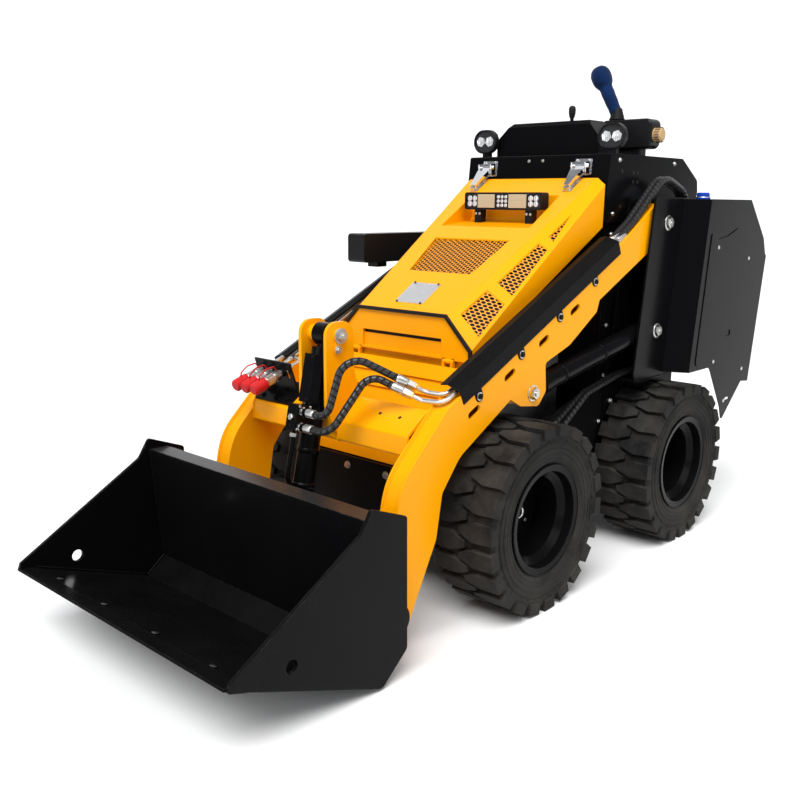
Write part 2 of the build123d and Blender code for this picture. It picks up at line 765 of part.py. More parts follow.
def pan_floor_z(x):
    """Height of the pan's floor at this x."""
    front_z = hood_top_z(PAN_FRONT_X)
    share = (PAN_FRONT_X - x) / (PAN_FRONT_X - PAN_FLOOR_REAR[0])
    return front_z + (PAN_FLOOR_REAR[1] - front_z) * share


SLOT_HALF_W = 170.0
SLOT_BOTTOM_Z = 760.0
SLOT_TOP_Z = 815.0
HINGE_NOTCH_W = 48.0
HINGE_NOTCH_TOP_Z = 758.0
with BuildPart() as hood_shell:
    for hood_x, half in ((HOOD_FRONT_X, HOOD_FRONT), (HOOD_REAR_X, HOOD_REAR)):
        with BuildSketch(Plane.YZ.offset(hood_x)):
            make_face(closed_section(half))
    loft(ruled=True)
    for hood_x, half in (
        (HOOD_FRONT_X - HOOD_SHEET, HOOD_FRONT_INSIDE),
        (HOOD_REAR_X, HOOD_REAR_INSIDE),
    ):
        with BuildSketch(Plane.YZ.offset(hood_x)):
            make_face(closed_section(half))
    loft(ruled=True, mode=Mode.SUBTRACT)
    # pan for the light bar
    with BuildSketch(side_plane(0)):
        make_face(outline(PAN_OUTER))
    extrude(amount=PAN_HALF_W + HOOD_SHEET, both=True)
    with BuildSketch(side_plane(0)):
        make_face(outline(PAN_INNER))
    extrude(amount=PAN_HALF_W, both=True, mode=Mode.SUBTRACT)
    # recessed air slot across the nose
    with BuildSketch(Plane.YZ.offset(HOOD_FRONT_X - HOOD_SHEET)):
        with Locations((0, (SLOT_BOTTOM_Z + SLOT_TOP_Z) / 2)):
            Rectangle(2 * SLOT_HALF_W + 16, SLOT_TOP_Z - SLOT_BOTTOM_Z + 12)
    extrude(amount=-9)
    with BuildSketch(Plane.YZ.offset(HOOD_FRONT_X)):
        with Locations((0, (SLOT_BOTTOM_Z + SLOT_TOP_Z) / 2)):
            Rectangle(2 * SLOT_HALF_W, SLOT_TOP_Z - SLOT_BOTTOM_Z)
    extrude(amount=-9, mode=Mode.SUBTRACT)
    with BuildSketch(Plane.YZ.offset(HOOD_FRONT_X)):
        with Locations((0, SLOT_TOP_Z - 6)):
            Rectangle(2 * SLOT_HALF_W, 12)
    extrude(amount=-20, mode=Mode.SUBTRACT)
    # vents
    with BuildSketch(VENT_PLANE):
        add(vent_sketch())
    extrude(amount=600, mode=Mode.SUBTRACT)
    # hinge eyes in their notches
    for _, side in SIDES:
        with BuildSketch(Plane.YZ.offset(HOOD_FRONT_X + 1)):
            with Locations((side * HINGE_EYE_Y, HINGE_NOTCH_TOP_Z - 10)):
                Rectangle(HINGE_NOTCH_W, 20)
        extrude(amount=-16, mode=Mode.SUBTRACT)
        with BuildSketch(side_plane(side * HINGE_EYE_Y)):
            with Locations(HOOD_HINGE):
                Circle(HINGE_EYE_R - 1)
            with Locations((HOOD_FRONT_X - 6, HOOD_HINGE[1] + 10)):
                Rectangle(12, 20)
            with Locations(HOOD_HINGE):
                Circle(HOOD_PIN_R + RUNNING_FIT, mode=Mode.SUBTRACT)
        extrude(amount=HINGE_EYE_W / 2, both=True)
save(hood_shell, "hood_shell")

# Perforated sheets behind the vents.
with BuildPart() as hood_mesh:
    for sections, mode in (
        ((HOOD_FRONT_INSIDE, HOOD_REAR_INSIDE), Mode.ADD),
        ((MESH_FRONT_INSIDE, MESH_REAR_INSIDE), Mode.SUBTRACT),
    ):
        for hood_x, half in zip((HOOD_FRONT_X - HOOD_SHEET, HOOD_REAR_X), sections):
            with BuildSketch(Plane.YZ.offset(hood_x)):
                make_face(closed_section(half))
        loft(ruled=True, mode=mode)
    with BuildSketch(VENT_PLANE):
        add(vent_sketch())
        offset(amount=MESH_LAP, kind=Kind.INTERSECTION)
    extrude(amount=600, mode=Mode.INTERSECT)
    with BuildSketch(VENT_PLANE):
        add(vent_sketch())
        with BuildSketch(mode=Mode.INTERSECT):
            with HexLocations(MESH_PITCH / 3**0.5, 18, 24, major_radius=True):
                RegularPolygon(MESH_HOLE_R, 6)
    extrude(amount=600, mode=Mode.SUBTRACT)
save(hood_mesh, "hood_mesh")

# Rubber edging round the front of the hood's nose.
TRIM_W = 8.0
TRIM_PROUD = 5.0
TRIM_LAP = 6.0
with BuildPart() as hood_trim:
    with BuildSketch(Plane.YZ.offset(HOOD_FRONT_X)):
        make_face(closed_section(HOOD_FRONT))
        offset(amount=TRIM_PROUD, kind=Kind.INTERSECTION)
        offset(amount=-TRIM_PROUD - TRIM_LAP, kind=Kind.INTERSECTION, mode=Mode.SUBTRACT)
        with Locations((0, HINGE_NOTCH_TOP_Z - 20)):
            Rectangle(2 * HOOD_FRONT_HALF_W + 100, 60, mode=Mode.SUBTRACT)
    extrude(amount=TRIM_W)
save(hood_trim, "hood_trim")

LATCH_X = -362.0
LATCH_Y = 203.0
with BuildPart() as hood_latches:
    for _, side in SIDES:
        with BuildSketch(hood_top_plane(LATCH_X, side * LATCH_Y)):
            Rectangle(70, 34)
        extrude(amount=3)
        with BuildSketch(hood_top_plane(LATCH_X, side * LATCH_Y).offset(3)):
            with Locations((10, 0)):
                Rectangle(50, 16)
        extrude(amount=12)
        # wire bail that reaches over the joint to the console
        with BuildSketch(hood_top_plane(LATCH_X, side * LATCH_Y).offset(6)):
            with Locations((-42, 0)):
                Rectangle(56, 24)
                Rectangle(44, 14, mode=Mode.SUBTRACT)
        extrude(amount=4)
save(hood_latches, "hood_latches")

with BuildPart() as badge_plate:
    with BuildSketch(hood_top_plane(195, 0)):
        RectangleRounded(107, 120, 4)
    extrude(amount=2)
save(badge_plate, "badge_plate")

BAR_REAR_X = -284.0
BAR_FRONT_X = -238.0
BAR_Z = 1230.0
BAR_POCKET = 6.0
SIDE_LENS = (50.0, 44.0)
CENTRE_LENS = (56.0, 50.0)
LENS_Y = 132.0
LIGHT_FOOT = (
    (-246, pan_floor_z(-246), 0),
    (-276, pan_floor_z(-276), 0),
    (-276, 1206, 0),
    (-246, 1206, 0),
)
with BuildPart() as light_bar:
    with BuildSketch(Plane.YZ.offset(BAR_REAR_X)):
        with Locations((0, BAR_Z)):
            RectangleRounded(330, 60, 9)
    extrude(amount=BAR_FRONT_X - BAR_REAR_X)
    with BuildSketch(Plane.YZ.offset(BAR_FRONT_X)):
        with Locations((LENS_Y, BAR_Z), (-LENS_Y, BAR_Z)):
            Rectangle(*SIDE_LENS)
        with Locations((0, BAR_Z)):
            Rectangle(*CENTRE_LENS)
        with Locations((68, BAR_Z), (-68, BAR_Z)):
            Rectangle(56, 36)
    extrude(amount=-BAR_POCKET, mode=Mode.SUBTRACT)
    for foot_y in (-110, 110):
        with BuildSketch(side_plane(foot_y)):
            make_face(outline(LIGHT_FOOT))
        extrude(amount=14, both=True)
save(light_bar, "light_bar")

with BuildPart() as light_bar_lenses:
    with BuildSketch(Plane.YZ.offset(BAR_FRONT_X - BAR_POCKET)):
        with Locations((LENS_Y, BAR_Z), (-LENS_Y, BAR_Z)):
            Rectangle(SIDE_LENS[0] - 1, SIDE_LENS[1] - 1)
        with Locations((0, BAR_Z)):
            Rectangle(CENTRE_LENS[0] - 1, CENTRE_LENS[1] - 1)
    extrude(amount=4)
save(light_bar_lenses, "light_bar_lenses")

# ---------------------------------------------------------------- loader arms
ARM_PROFILE = (
    (782, 62, 50),
    (697, 492, 200),
    (510, 668, 150),
    (-379, 1092, 150),
    (-640, 1245, 60),
    (-750, 1150, 50),
    (-700, 1072, 30),
    (-572, 1061, 30),
    (-257, 914, 12),
    (-242, 875, 12),
    (-88, 782, 60),
    (45, 740, 15),
    (36, 650, 20),
    (75, 608, 24),
    (170, 622, 24),
    (221, 650, 8),
    (455, 520, 100),
    (530, 430, 35),
    (553, 300, 60),
    (676, 62, 45),
)
# room between the plates for the lift rod and its eye
LUG_ROOM = (
    (20, 747, 0),
    (221, 650, 0),
    (221, 590, 0),
    (20, 590, 0),
)
PRESSED_SLOTS = ((395, 641), (228, 726), (57, 810), (-112, 893))
ARM_TURN = degrees(atan2(ARM_PROFILE[3][1] - ARM_PROFILE[2][1], ARM_PROFILE[3][0] - ARM_PROFILE[2][0]))
ARM_DIR = (-cos(radians(ARM_TURN)), -sin(radians(ARM_TURN)))
ARM_RISE = (ARM_PROFILE[3][1] - ARM_PROFILE[2][1]) / (ARM_PROFILE[2][0] - ARM_PROFILE[3][0])


def arm_top_z(x, lift=0.0):
    """Height of a point this far square above the arm's long top edge at this x."""
    return ARM_PROFILE[2][1] + (ARM_PROFILE[2][0] - x) * ARM_RISE + lift / ARM_DIR[0]


for side_name, side in SIDES:
    with BuildPart() as arm:
        for plate_y in (ARM_INNER_Y + ARM_PLATE / 2, ARM_OUTER_Y - ARM_PLATE / 2):
            with BuildSketch(side_plane(side * plate_y)):
                make_face(outline(ARM_PROFILE))
            extrude(amount=ARM_PLATE / 2, both=True)
        # closing strip round the profile, set in from the plates' edges
        with BuildSketch(side_plane(side * ARM_MID_Y)):
            make_face(outline(ARM_PROFILE))
            make_face(outline(LUG_ROOM), mode=Mode.SUBTRACT)
            offset(amount=-ARM_WEB_INSET, mode=Mode.REPLACE)
            offset(amount=-ARM_PLATE, mode=Mode.SUBTRACT)
        extrude(amount=ARM_W / 2 - ARM_PLATE, both=True)
        with BuildSketch(side_plane(side * ARM_MID_Y)):
            with Locations(ARM_PIVOT, BUCKET_PIN):
                Circle(ARM_BOSS_R)
        extrude(amount=ARM_W / 2, both=True)
        with BuildSketch(side_plane(side * ARM_MID_Y)):
            with Locations(ARM_PIVOT):
                Circle(ARM_PIN_R + RUNNING_FIT)
            with Locations(BUCKET_PIN):
                Circle(BUCKET_PIN_R + RUNNING_FIT)
        extrude(amount=ARM_W, both=True, mode=Mode.SUBTRACT)
        # half slots pressed through the outer plate under the guard
        with BuildSketch(side_plane(side * (ARM_OUTER_Y - ARM_PLATE / 2))):
            for slot_x, slot_z in PRESSED_SLOTS:
                with Locations(Location((slot_x, slot_z), ARM_TURN)):
                    SlotOverall(56, 22)
        extrude(amount=ARM_PLATE, both=True, mode=Mode.SUBTRACT)
        # head of the lift rod's pin
        with BuildSketch(side_plane(side * ARM_OUTER_Y)):
            with Locations(LIFT_ARM_PIN):
                Circle(PIN_HEAD_R)
        extrude(amount=-side * PIN_HEAD_T)
        with BuildSketch(side_plane(side * (ARM_OUTER_Y + PIN_HEAD_T))):
            with Locations(LIFT_ARM_PIN):
                RegularPolygon(PIN_BOLT_R, 6)
        extrude(amount=-side * 8)
    save(arm, f"arm_{side_name}")

CROSS_TUBE = (
    (611, 535, 8),
    (608, 596, 12),
    (511, 662, 8),
    (511, 560, 8),
    (535, 535, 8),
)
with BuildPart() as cross_tube:
    with BuildSketch(side_plane(0)):
        make_face(outline(CROSS_TUBE))
        offset(amount=-8, mode=Mode.SUBTRACT)
    extrude(amount=ARM_INNER_Y, both=True)
save(cross_tube, "cross_tube")

CLEVIS_PROFILE = (
    (652, 886, 40),
    (652, 640, 30),
    (620, 563, 4),
    (560, 563, 0),
    (514, 650, 0),
    (540, 735, 60),
    (548, 886, 40),
)
with BuildPart() as tilt_clevis:
    for side in (1, -1):
        with BuildSketch(side_plane(side * 54)):
            make_face(outline(CLEVIS_PROFILE))
            make_face(outline(CROSS_TUBE), mode=Mode.SUBTRACT)
        extrude(amount=6, both=True)
        with BuildSketch(side_plane(side * 38)):
            with Locations(TILT_CLEVIS_PIN):
                Circle(26)
        extrude(amount=11, both=True)
        # pin head with its keeper plate
        with BuildSketch(side_plane(side * 60)):
            with Locations(TILT_CLEVIS_PIN):
                Circle(24)
            with Locations((608, 820)):
                Rectangle(26, 50)
        extrude(amount=-side * 6)
    with BuildSketch(side_plane(0)):
        with Locations(TILT_CLEVIS_PIN):
            Circle(TILT_PIN_R)
    extrude(amount=60, both=True)
save(tilt_clevis, "tilt_clevis")

# Guards over the tubes on the arms: distance from the middle, height over the arm's top edge.
GUARD_SECTION = (
    (ARM_OUTER_Y + 3, -26),
    (ARM_OUTER_Y + 3, 20),
    (ARM_INNER_Y + 25, 37),
    (ARM_INNER_Y, 33),
    (ARM_INNER_Y, 30),
    (ARM_INNER_Y + 24.6, 34),
    (ARM_OUTER_Y, 18),
    (ARM_OUTER_Y, -26),
)
GUARD_REAR_X = -363.0
GUARD_FRONT_X = 456.0
GUARD_BOLTS = ((375, 684), (175, 782), (-24, 877), (-222, 976))
with BuildPart() as hose_guards:
    for _, side in SIDES:
        guard_start = Plane(
            origin=(GUARD_REAR_X, 0, arm_top_z(GUARD_REAR_X)),
            x_dir=(0, 1, 0),
            z_dir=(ARM_DIR[0], 0, ARM_DIR[1]),
        )
        with BuildSketch(guard_start):
            with BuildLine():
                Polyline(*[(side * y, h) for y, h in GUARD_SECTION], close=True)
            make_face()
        extrude(amount=(GUARD_FRONT_X - GUARD_REAR_X) / ARM_DIR[0])
        # bolted tabs
        with BuildSketch(side_plane(side * ARM_OUTER_Y)):
            with Locations(*[Location(bolt, ARM_TURN) for bolt in GUARD_BOLTS]):
                Circle(16)
                with Locations((0, -14)):
                    Rectangle(32, 28)
        extrude(amount=-side * 3)
        with BuildSketch(side_plane(side * (ARM_OUTER_Y + 3))):
            with Locations(*GUARD_BOLTS):
                RegularPolygon(9, 6)
        extrude(amount=-side * 6)
save(hose_guards, "hose_guards")

# Steel tubes that run on each arm under its guard, with hose ferrules at the rear end.
TUBE_LIFT = 6.0
TUBE_REAR_X = -330.0
FERRULE_R = 10.5
FERRULE_L = 34.0
LEFT_RUNS = (ARM_INNER_Y + 43.5, ARM_INNER_Y + 19.5)
RIGHT_RUNS = (-ARM_INNER_Y - 16, -ARM_INNER_Y - 32, -ARM_INNER_Y - 48)
LEFT_TUBES = (
    ((505, LEFT_RUNS[0], 681), (517, ARM_INNER_Y - 31, 679), (545, ARM_INNER_Y - 73, 703)),
    (
        (470, LEFT_RUNS[1], arm_top_z(470, TUBE_LIFT)),
        (482.2, ARM_INNER_Y - 45.9, 696.2),
        (520, ARM_INNER_Y - 80, 722),
    ),
)
# Quick couplers stand in a row on a bracket; their common axis slopes down and forward.
COUPLER_BACK = (545.0, 711.0)
COUPLER_DIP = 19.9
COUPLER_DIR = (cos(radians(COUPLER_DIP)), -sin(radians(COUPLER_DIP)))
COUPLER_YS = (110 - ARM_INNER_Y, 65 - ARM_INNER_Y, 20 - ARM_INNER_Y)
COUPLER_R = 12.0
TUBE_LEAVE_X = (430.0, 442.0, 455.0)
BRACKET_T = 6.0
BRACKET_REACH = 42.0
CAP_START = 108.0
CAP_L = 52.0
CAP_R = 19.0


def coupler_plane(y, reach):
    """Plane square to a coupler's axis, this far along from its back end."""
    return Plane(
        origin=(COUPLER_BACK[0] + COUPLER_DIR[0] * reach, y, COUPLER_BACK[1] + COUPLER_DIR[1] * reach),
        x_dir=(0, 1, 0),
        z_dir=(COUPLER_DIR[0], 0, COUPLER_DIR[1]),
    )


tube_routes = []
for run_y, bends in zip(LEFT_RUNS, LEFT_TUBES):
    start = (TUBE_REAR_X, run_y, arm_top_z(TUBE_REAR_X, TUBE_LIFT))
    tube_routes.append((ARM_TUBE_R, 28, (start, *bends)))
for run_y, leave_x, coupler_y in zip(RIGHT_RUNS, TUBE_LEAVE_X, COUPLER_YS):
    start = (TUBE_REAR_X, run_y, arm_top_z(TUBE_REAR_X, TUBE_LIFT))
    leave = (leave_x, run_y, arm_top_z(leave_x, TUBE_LIFT))
    entry = (COUPLER_BACK[0] - 47, coupler_y, COUPLER_BACK[1] + 17)
    end = (COUPLER_BACK[0], coupler_y, COUPLER_BACK[1])
    tube_routes.append((ARM_TUBE_R - 1, 24, (start, leave, entry, end)))

with BuildPart() as arm_tubes:
    for tube_r, bend_r, points in tube_routes:
        tube_line = route(points, bend_r)
        with BuildSketch(start_plane(tube_line)):
            Circle(tube_r)
        sweep(path=tube_line)
        # ferrule that takes the hose at the arm's rear end
        ferrule_plane = Plane(origin=points[0], x_dir=(0, 1, 0), z_dir=(-ARM_DIR[0], 0, -ARM_DIR[1]))
        ferrule_r = FERRULE_R if points[0][1] > 0 else 7.8
        with BuildSketch(ferrule_plane):
            Circle(ferrule_r)
        extrude(amount=FERRULE_L, both=True)
    for _, _, points in tube_routes[:2]:
        nut_plane = Plane(origin=points[-1], z_dir=Vector(*points[-1]) - Vector(*points[-2]))
        with BuildSketch(nut_plane):
            RegularPolygon(14, 6)
        extrude(amount=-22)
    for coupler_y in COUPLER_YS:
        for radius, start, end in (
            (COUPLER_R, 0, 70),
            (15.5, 70, CAP_START),
            (14, CAP_START - 20, CAP_START + 16),
        ):
            with BuildSketch(coupler_plane(coupler_y, start)):
                Circle(radius)
            extrude(amount=end - start)
        for start, end in ((18, 36), (52, 68)):
            with BuildSketch(coupler_plane(coupler_y, start)):
                RegularPolygon(17, 6)
            extrude(amount=end - start)
save(arm_tubes, "arm_tubes")

with BuildPart() as coupler_caps:
    for coupler_y in COUPLER_YS:
        with BuildSketch(coupler_plane(coupler_y, CAP_START + 1)):
            Circle(CAP_R)
            Circle(14.2, mode=Mode.SUBTRACT)
        extrude(amount=16)
        with BuildSketch(coupler_plane(coupler_y, CAP_START + 17)):
            Circle(CAP_R)
        extrude(amount=CAP_L - 17)
    chamfer(coupler_caps.edges().filter_by(GeomType.CIRCLE).group_by(Axis.X)[-1], 4)
save(coupler_caps, "coupler_caps")

# Folded bracket on the cross tube's sloping face.
SLOPE_LOW = (600.0, 601.5)
SLOPE_HIGH = (520.0, 656.0)
FOOT_STEP = (3.4, 5.0)
BRACKET_W = 170.0
BRACKET_Y = BRACKET_W / 2 - ARM_INNER_Y
with BuildPart() as coupler_bracket:
    with BuildSketch(side_plane(BRACKET_Y)):
        with BuildLine():
            Polyline(
                SLOPE_LOW,
                SLOPE_HIGH,
                (SLOPE_HIGH[0] + FOOT_STEP[0], SLOPE_HIGH[1] + FOOT_STEP[1]),
                (SLOPE_LOW[0] + FOOT_STEP[0], SLOPE_LOW[1] + FOOT_STEP[1]),
                close=True,
            )
        make_face()
    extrude(amount=BRACKET_W / 2, both=True)
    with BuildSketch(coupler_plane(BRACKET_Y, BRACKET_REACH).offset(-BRACKET_T / 2)):
        with Locations((0, -22)):
            Rectangle(BRACKET_W, 126)
        with Locations((62, 0)):
            SlotOverall(38, 11, rotation=90, mode=Mode.SUBTRACT)
        with Locations(*[(y - BRACKET_Y, 0) for y in COUPLER_YS]):
            Circle(COUPLER_R + 0.3, mode=Mode.SUBTRACT)
    extrude(amount=BRACKET_T)
    with BuildSketch(side_plane(0)):
        with BuildLine():
            Polyline((450, 740), (450, 480), (620, 480), SLOPE_LOW, SLOPE_HIGH, close=True)
        make_face()
    extrude(amount=400, both=True, mode=Mode.SUBTRACT)
    for bolt_y in (BRACKET_Y + 60, BRACKET_Y, BRACKET_Y - 60):
        with BuildSketch(Plane(origin=(585, bolt_y, 614), z_dir=(FOOT_STEP[0], 0, FOOT_STEP[1]))):
            RegularPolygon(9, 6)
        extrude(amount=11)
save(coupler_bracket, "coupler_bracket")

# Hoses from the left arm's tubes over to the tilt cylinder's port block.
TILT_HOSES = (
    ((712, 45, 632), (712, 126, 632), (652, 136, 812), (520.4, ARM_INNER_Y - 80.4, 722.3)),
    ((722, 45, 589), (722, 146, 589), (600, 180, 750), (545.3, ARM_INNER_Y - 73.5, 703.3)),
)
with BuildPart() as tilt_hoses:
    for points, radii in zip(TILT_HOSES, ((36, 58), (50, 48))):
        hose_line = route(points, radii)
        with BuildSketch(start_plane(hose_line)):
            Circle(TILT_HOSE_R)
        sweep(path=hose_line)
save(tilt_hoses, "tilt_hoses")

# Hoses from the body over the arm's pivot to the tubes on each arm.
HOSE_START = FERRULE_L + 0.8
PIVOT_ROUTE = (
    (TUBE_REAR_X - HOSE_START * ARM_DIR[0], arm_top_z(TUBE_REAR_X - HOSE_START * ARM_DIR[0], TUBE_LIFT)),
    (-487, 1162),
    (-690, 1322),
    (-872, 1262),
)
PIVOT_END_X = -885.0
PIVOT_ENDS_Z = (760.0, 800.0, 840.0)
with BuildPart() as pivot_hoses:
    for runs, hose_r in ((LEFT_RUNS, PIVOT_HOSE_R), (RIGHT_RUNS[::-1], PIVOT_HOSE_R - 1.6)):
        for run_y, end_z in zip(runs, PIVOT_ENDS_Z):
            points = [(x, run_y, z) for x, z in PIVOT_ROUTE]
            points.append((PIVOT_END_X, run_y, end_z))
            hose_line = route(points, [150, 100, 90])
            with BuildSketch(start_plane(hose_line)):
                Circle(hose_r)
            sweep(path=hose_line)
            # elbow that turns in to the body's side
            with Locations(points[-1]):
                Sphere(hose_r + 0.4)
            side = 1 if run_y > 0 else -1
            with BuildSketch(Plane(origin=points[-1], z_dir=(0, -side, 0))):
                Circle(hose_r)
            extrude(amount=abs(run_y) - CHASSIS_HALF_W + 2)
save(pivot_hoses, "pivot_hoses")

# Hoses along the frame's side into each tower.
SIDE_RUNS = (CHASSIS_HALF_W + 26, CHASSIS_HALF_W + 45)
SIDE_HOSE_R = 9.0
with BuildPart() as side_hoses:
    for _, side in SIDES:
        for run_y, start_z in zip(SIDE_RUNS, (500, 478)):
            points = [
                (-130, side * CHASSIS_HALF_W, start_z),
                (-130, side * run_y, start_z),
                (-300, side * run_y, 586),
                (-500, side * run_y, 622),
                (-683, side * run_y, 630),
            ]
            hose_line = route(points, [15, 60, 200])
            with BuildSketch(start_plane(hose_line)):
                Circle(SIDE_HOSE_R)
            sweep(path=hose_line)
save(side_hoses, "side_hoses")

# Long box outside the right arm, carried by the tower.
BOX_INNER_Y = -TOWER_OUTER_Y - 13.0
with BuildPart() as side_box:
    with BuildSketch(side_plane(BOX_INNER_Y)):
        with Locations((-269, 1057)):
            RectangleRounded(560, 105, 14)
    extrude(amount=90)
    chamfer(side_box.faces().sort_by(Axis.Y)[0].edges(), 5)
    with BuildSketch(side_plane(-TOWER_OUTER_Y)):
        with Locations((-560, 1060)):
            Rectangle(240, 60)
    extrude(amount=16)
    with BuildSketch(Plane.XY.offset(1005)):
        with Locations((-104, BOX_INNER_Y - 45)):
            Rectangle(50, 50)
    extrude(amount=-20)
save(side_box, "side_box")

# ---------------------------------------------------------------- lift cylinders
lift_gland = toward(LIFT_ARM_PIN, LIFT_TOWER_PIN, LIFT_ROD_SHOWING)
lift_head = toward(LIFT_TOWER_PIN, LIFT_ARM_PIN, 45)
lift_bore_end = toward(LIFT_TOWER_PIN, LIFT_ARM_PIN, 170)
lift_rod_start = toward(LIFT_TOWER_PIN, LIFT_ARM_PIN, 175)
for side_name, side in SIDES:
    lift_y = side * ARM_MID_Y
    with BuildPart() as lift_barrel:
        with BuildSketch(pin_plane(lift_head, lift_gland, lift_y)):
            Circle(LIFT_BARREL_R)
        extrude(amount=span(lift_head, lift_gland))
        with BuildSketch(pin_plane(lift_gland, lift_head, lift_y)):
            Circle(LIFT_BARREL_R + 3)
        extrude(amount=30)
        with BuildSketch(side_plane(lift_y)):
            with Locations(LIFT_TOWER_PIN):
                Circle(LIFT_EYE_R)
        extrude(amount=LIFT_EYE_W / 2, both=True)
        with BuildSketch(pin_plane(LIFT_TOWER_PIN, lift_gland, lift_y)):
            Circle(20)
        extrude(amount=60)
        with BuildSketch(side_plane(lift_y)):
            with Locations(LIFT_TOWER_PIN):
                Circle(LIFT_PIN_R + RUNNING_FIT)
        extrude(amount=LIFT_EYE_W, both=True, mode=Mode.SUBTRACT)
        with BuildSketch(pin_plane(lift_bore_end, lift_gland, lift_y)):
            Circle(LIFT_ROD_R + RUNNING_FIT)
        extrude(amount=1000, mode=Mode.SUBTRACT)
    save(lift_barrel, f"lift_barrel_{side_name}")

    with BuildPart() as lift_rod:
        with BuildSketch(pin_plane(lift_rod_start, lift_gland, lift_y)):
            Circle(LIFT_ROD_R)
        extrude(amount=span(lift_rod_start, LIFT_ARM_PIN) - 20)
        with BuildSketch(side_plane(lift_y)):
            with Locations(LIFT_ARM_PIN):
                Circle(LIFT_EYE_R)
        extrude(amount=LIFT_EYE_W / 2, both=True)
    save(lift_rod, f"lift_rod_{side_name}")

# ---------------------------------------------------------------- tilt cylinder
# Points on the cylinder: distance along it from the clevis pin, distance in front of it.
tilt_gland = toward(TILT_BUCKET_PIN, TILT_CLEVIS_PIN, TILT_ROD_SHOWING)
tilt_head = toward(TILT_CLEVIS_PIN, TILT_BUCKET_PIN, 40)
tilt_bore_end = toward(TILT_CLEVIS_PIN, TILT_BUCKET_PIN, 80)
tilt_rod_start = toward(TILT_CLEVIS_PIN, TILT_BUCKET_PIN, 105)
TILT_TURN = degrees(
    atan2(TILT_BUCKET_PIN[1] - TILT_CLEVIS_PIN[1], TILT_BUCKET_PIN[0] - TILT_CLEVIS_PIN[0])
)
PORT_BLOCK = (212.0, 288.0, 28.0, 84.0)
PORT_BLOCK_HALF_W = 20.0
PORT_POINTS = ((712, 632), (722, 589))
TILT_GUARD = (62.0, 204.0)
TILT_GUARD_SECTION = (
    (-20, 48),
    (20, 48),
    (41, 27),
    (39, 25),
    (19, 45),
    (-19, 45),
    (-39, 25),
    (-41, 27),
)
PIPE_R = 7.0


def tilt_point(along, front, y=0.0):
    """Point this far along the tilt cylinder from its clevis pin and this far in front."""
    x, z = toward(TILT_CLEVIS_PIN, TILT_BUCKET_PIN, along)
    turn = radians(TILT_TURN + 90)
    return (x + front * cos(turn), y, z + front * sin(turn))


with BuildPart() as tilt_barrel:
    with BuildSketch(pin_plane(tilt_head, tilt_gland, 0)):
        Circle(TILT_BARREL_R)
    extrude(amount=span(tilt_head, tilt_gland))
    with BuildSketch(pin_plane(tilt_gland, tilt_head, 0)):
        Circle(TILT_BARREL_R + 4)
    extrude(amount=30)
    with BuildSketch(side_plane(0)):
        with Locations(TILT_CLEVIS_PIN):
            Circle(TILT_EYE_R)
    extrude(amount=TILT_EYE_W / 2, both=True)
    with BuildSketch(pin_plane(TILT_CLEVIS_PIN, tilt_gland, 0)):
        Circle(18)
    extrude(amount=50)
    # folded guard in front of the barrel on two spacers
    guard_plane = Plane(
        origin=tilt_point(TILT_GUARD[0], 0),
        x_dir=(0, 1, 0),
        z_dir=Vector(*tilt_point(1, 0)) - Vector(*tilt_point(0, 0)),
    )
    with BuildSketch(guard_plane):
        with BuildLine():
            Polyline(*[(y, front) for y, front in TILT_GUARD_SECTION], close=True)
        make_face()
    extrude(amount=TILT_GUARD[1] - TILT_GUARD[0])
    for along in (12, 112):
        with BuildSketch(guard_plane.offset(along)):
            with Locations((0, 37)):
                Rectangle(18, 18)
        extrude(amount=16)
    # port block with its two elbows
    with BuildSketch(guard_plane.offset(PORT_BLOCK[0] - TILT_GUARD[0])):
        with Locations((0, (PORT_BLOCK[2] + PORT_BLOCK[3]) / 2)):
            Rectangle(2 * PORT_BLOCK_HALF_W, PORT_BLOCK[3] - PORT_BLOCK[2])
    extrude(amount=PORT_BLOCK[1] - PORT_BLOCK[0])
    with BuildSketch(side_plane(PORT_BLOCK_HALF_W)):
        with Locations(*PORT_POINTS):
            RegularPolygon(13, 6)
    extrude(amount=-25)
    # pipe down to the port at the gland
    pipe_line = route(
        [
            tilt_point(PORT_BLOCK[1] - 4, 66),
            tilt_point(430, 66),
            tilt_point(470, 30),
        ],
        20,
    )
    with BuildSketch(start_plane(pipe_line)):
        Circle(PIPE_R)
    sweep(path=pipe_line)
    with BuildSketch(side_plane(0)):
        with Locations(TILT_CLEVIS_PIN):
            Circle(TILT_PIN_R + RUNNING_FIT)
    extrude(amount=TILT_EYE_W, both=True, mode=Mode.SUBTRACT)
    with BuildSketch(pin_plane(tilt_bore_end, tilt_gland, 0)):
        Circle(TILT_ROD_R + RUNNING_FIT)
    extrude(amount=1000, mode=Mode.SUBTRACT)
save(tilt_barrel, "tilt_barrel")

with BuildPart() as tilt_rod:
    with BuildSketch(pin_plane(tilt_rod_start, tilt_gland, 0)):
        Circle(TILT_ROD_R)
    extrude(amount=span(tilt_rod_start, TILT_BUCKET_PIN) - 20)
    with BuildSketch(side_plane(0)):
        with Locations(TILT_BUCKET_PIN):
            Circle(TILT_ROD_EYE_R)
    extrude(amount=TILT_EYE_W / 2, both=True)
save(tilt_rod, "tilt_rod")

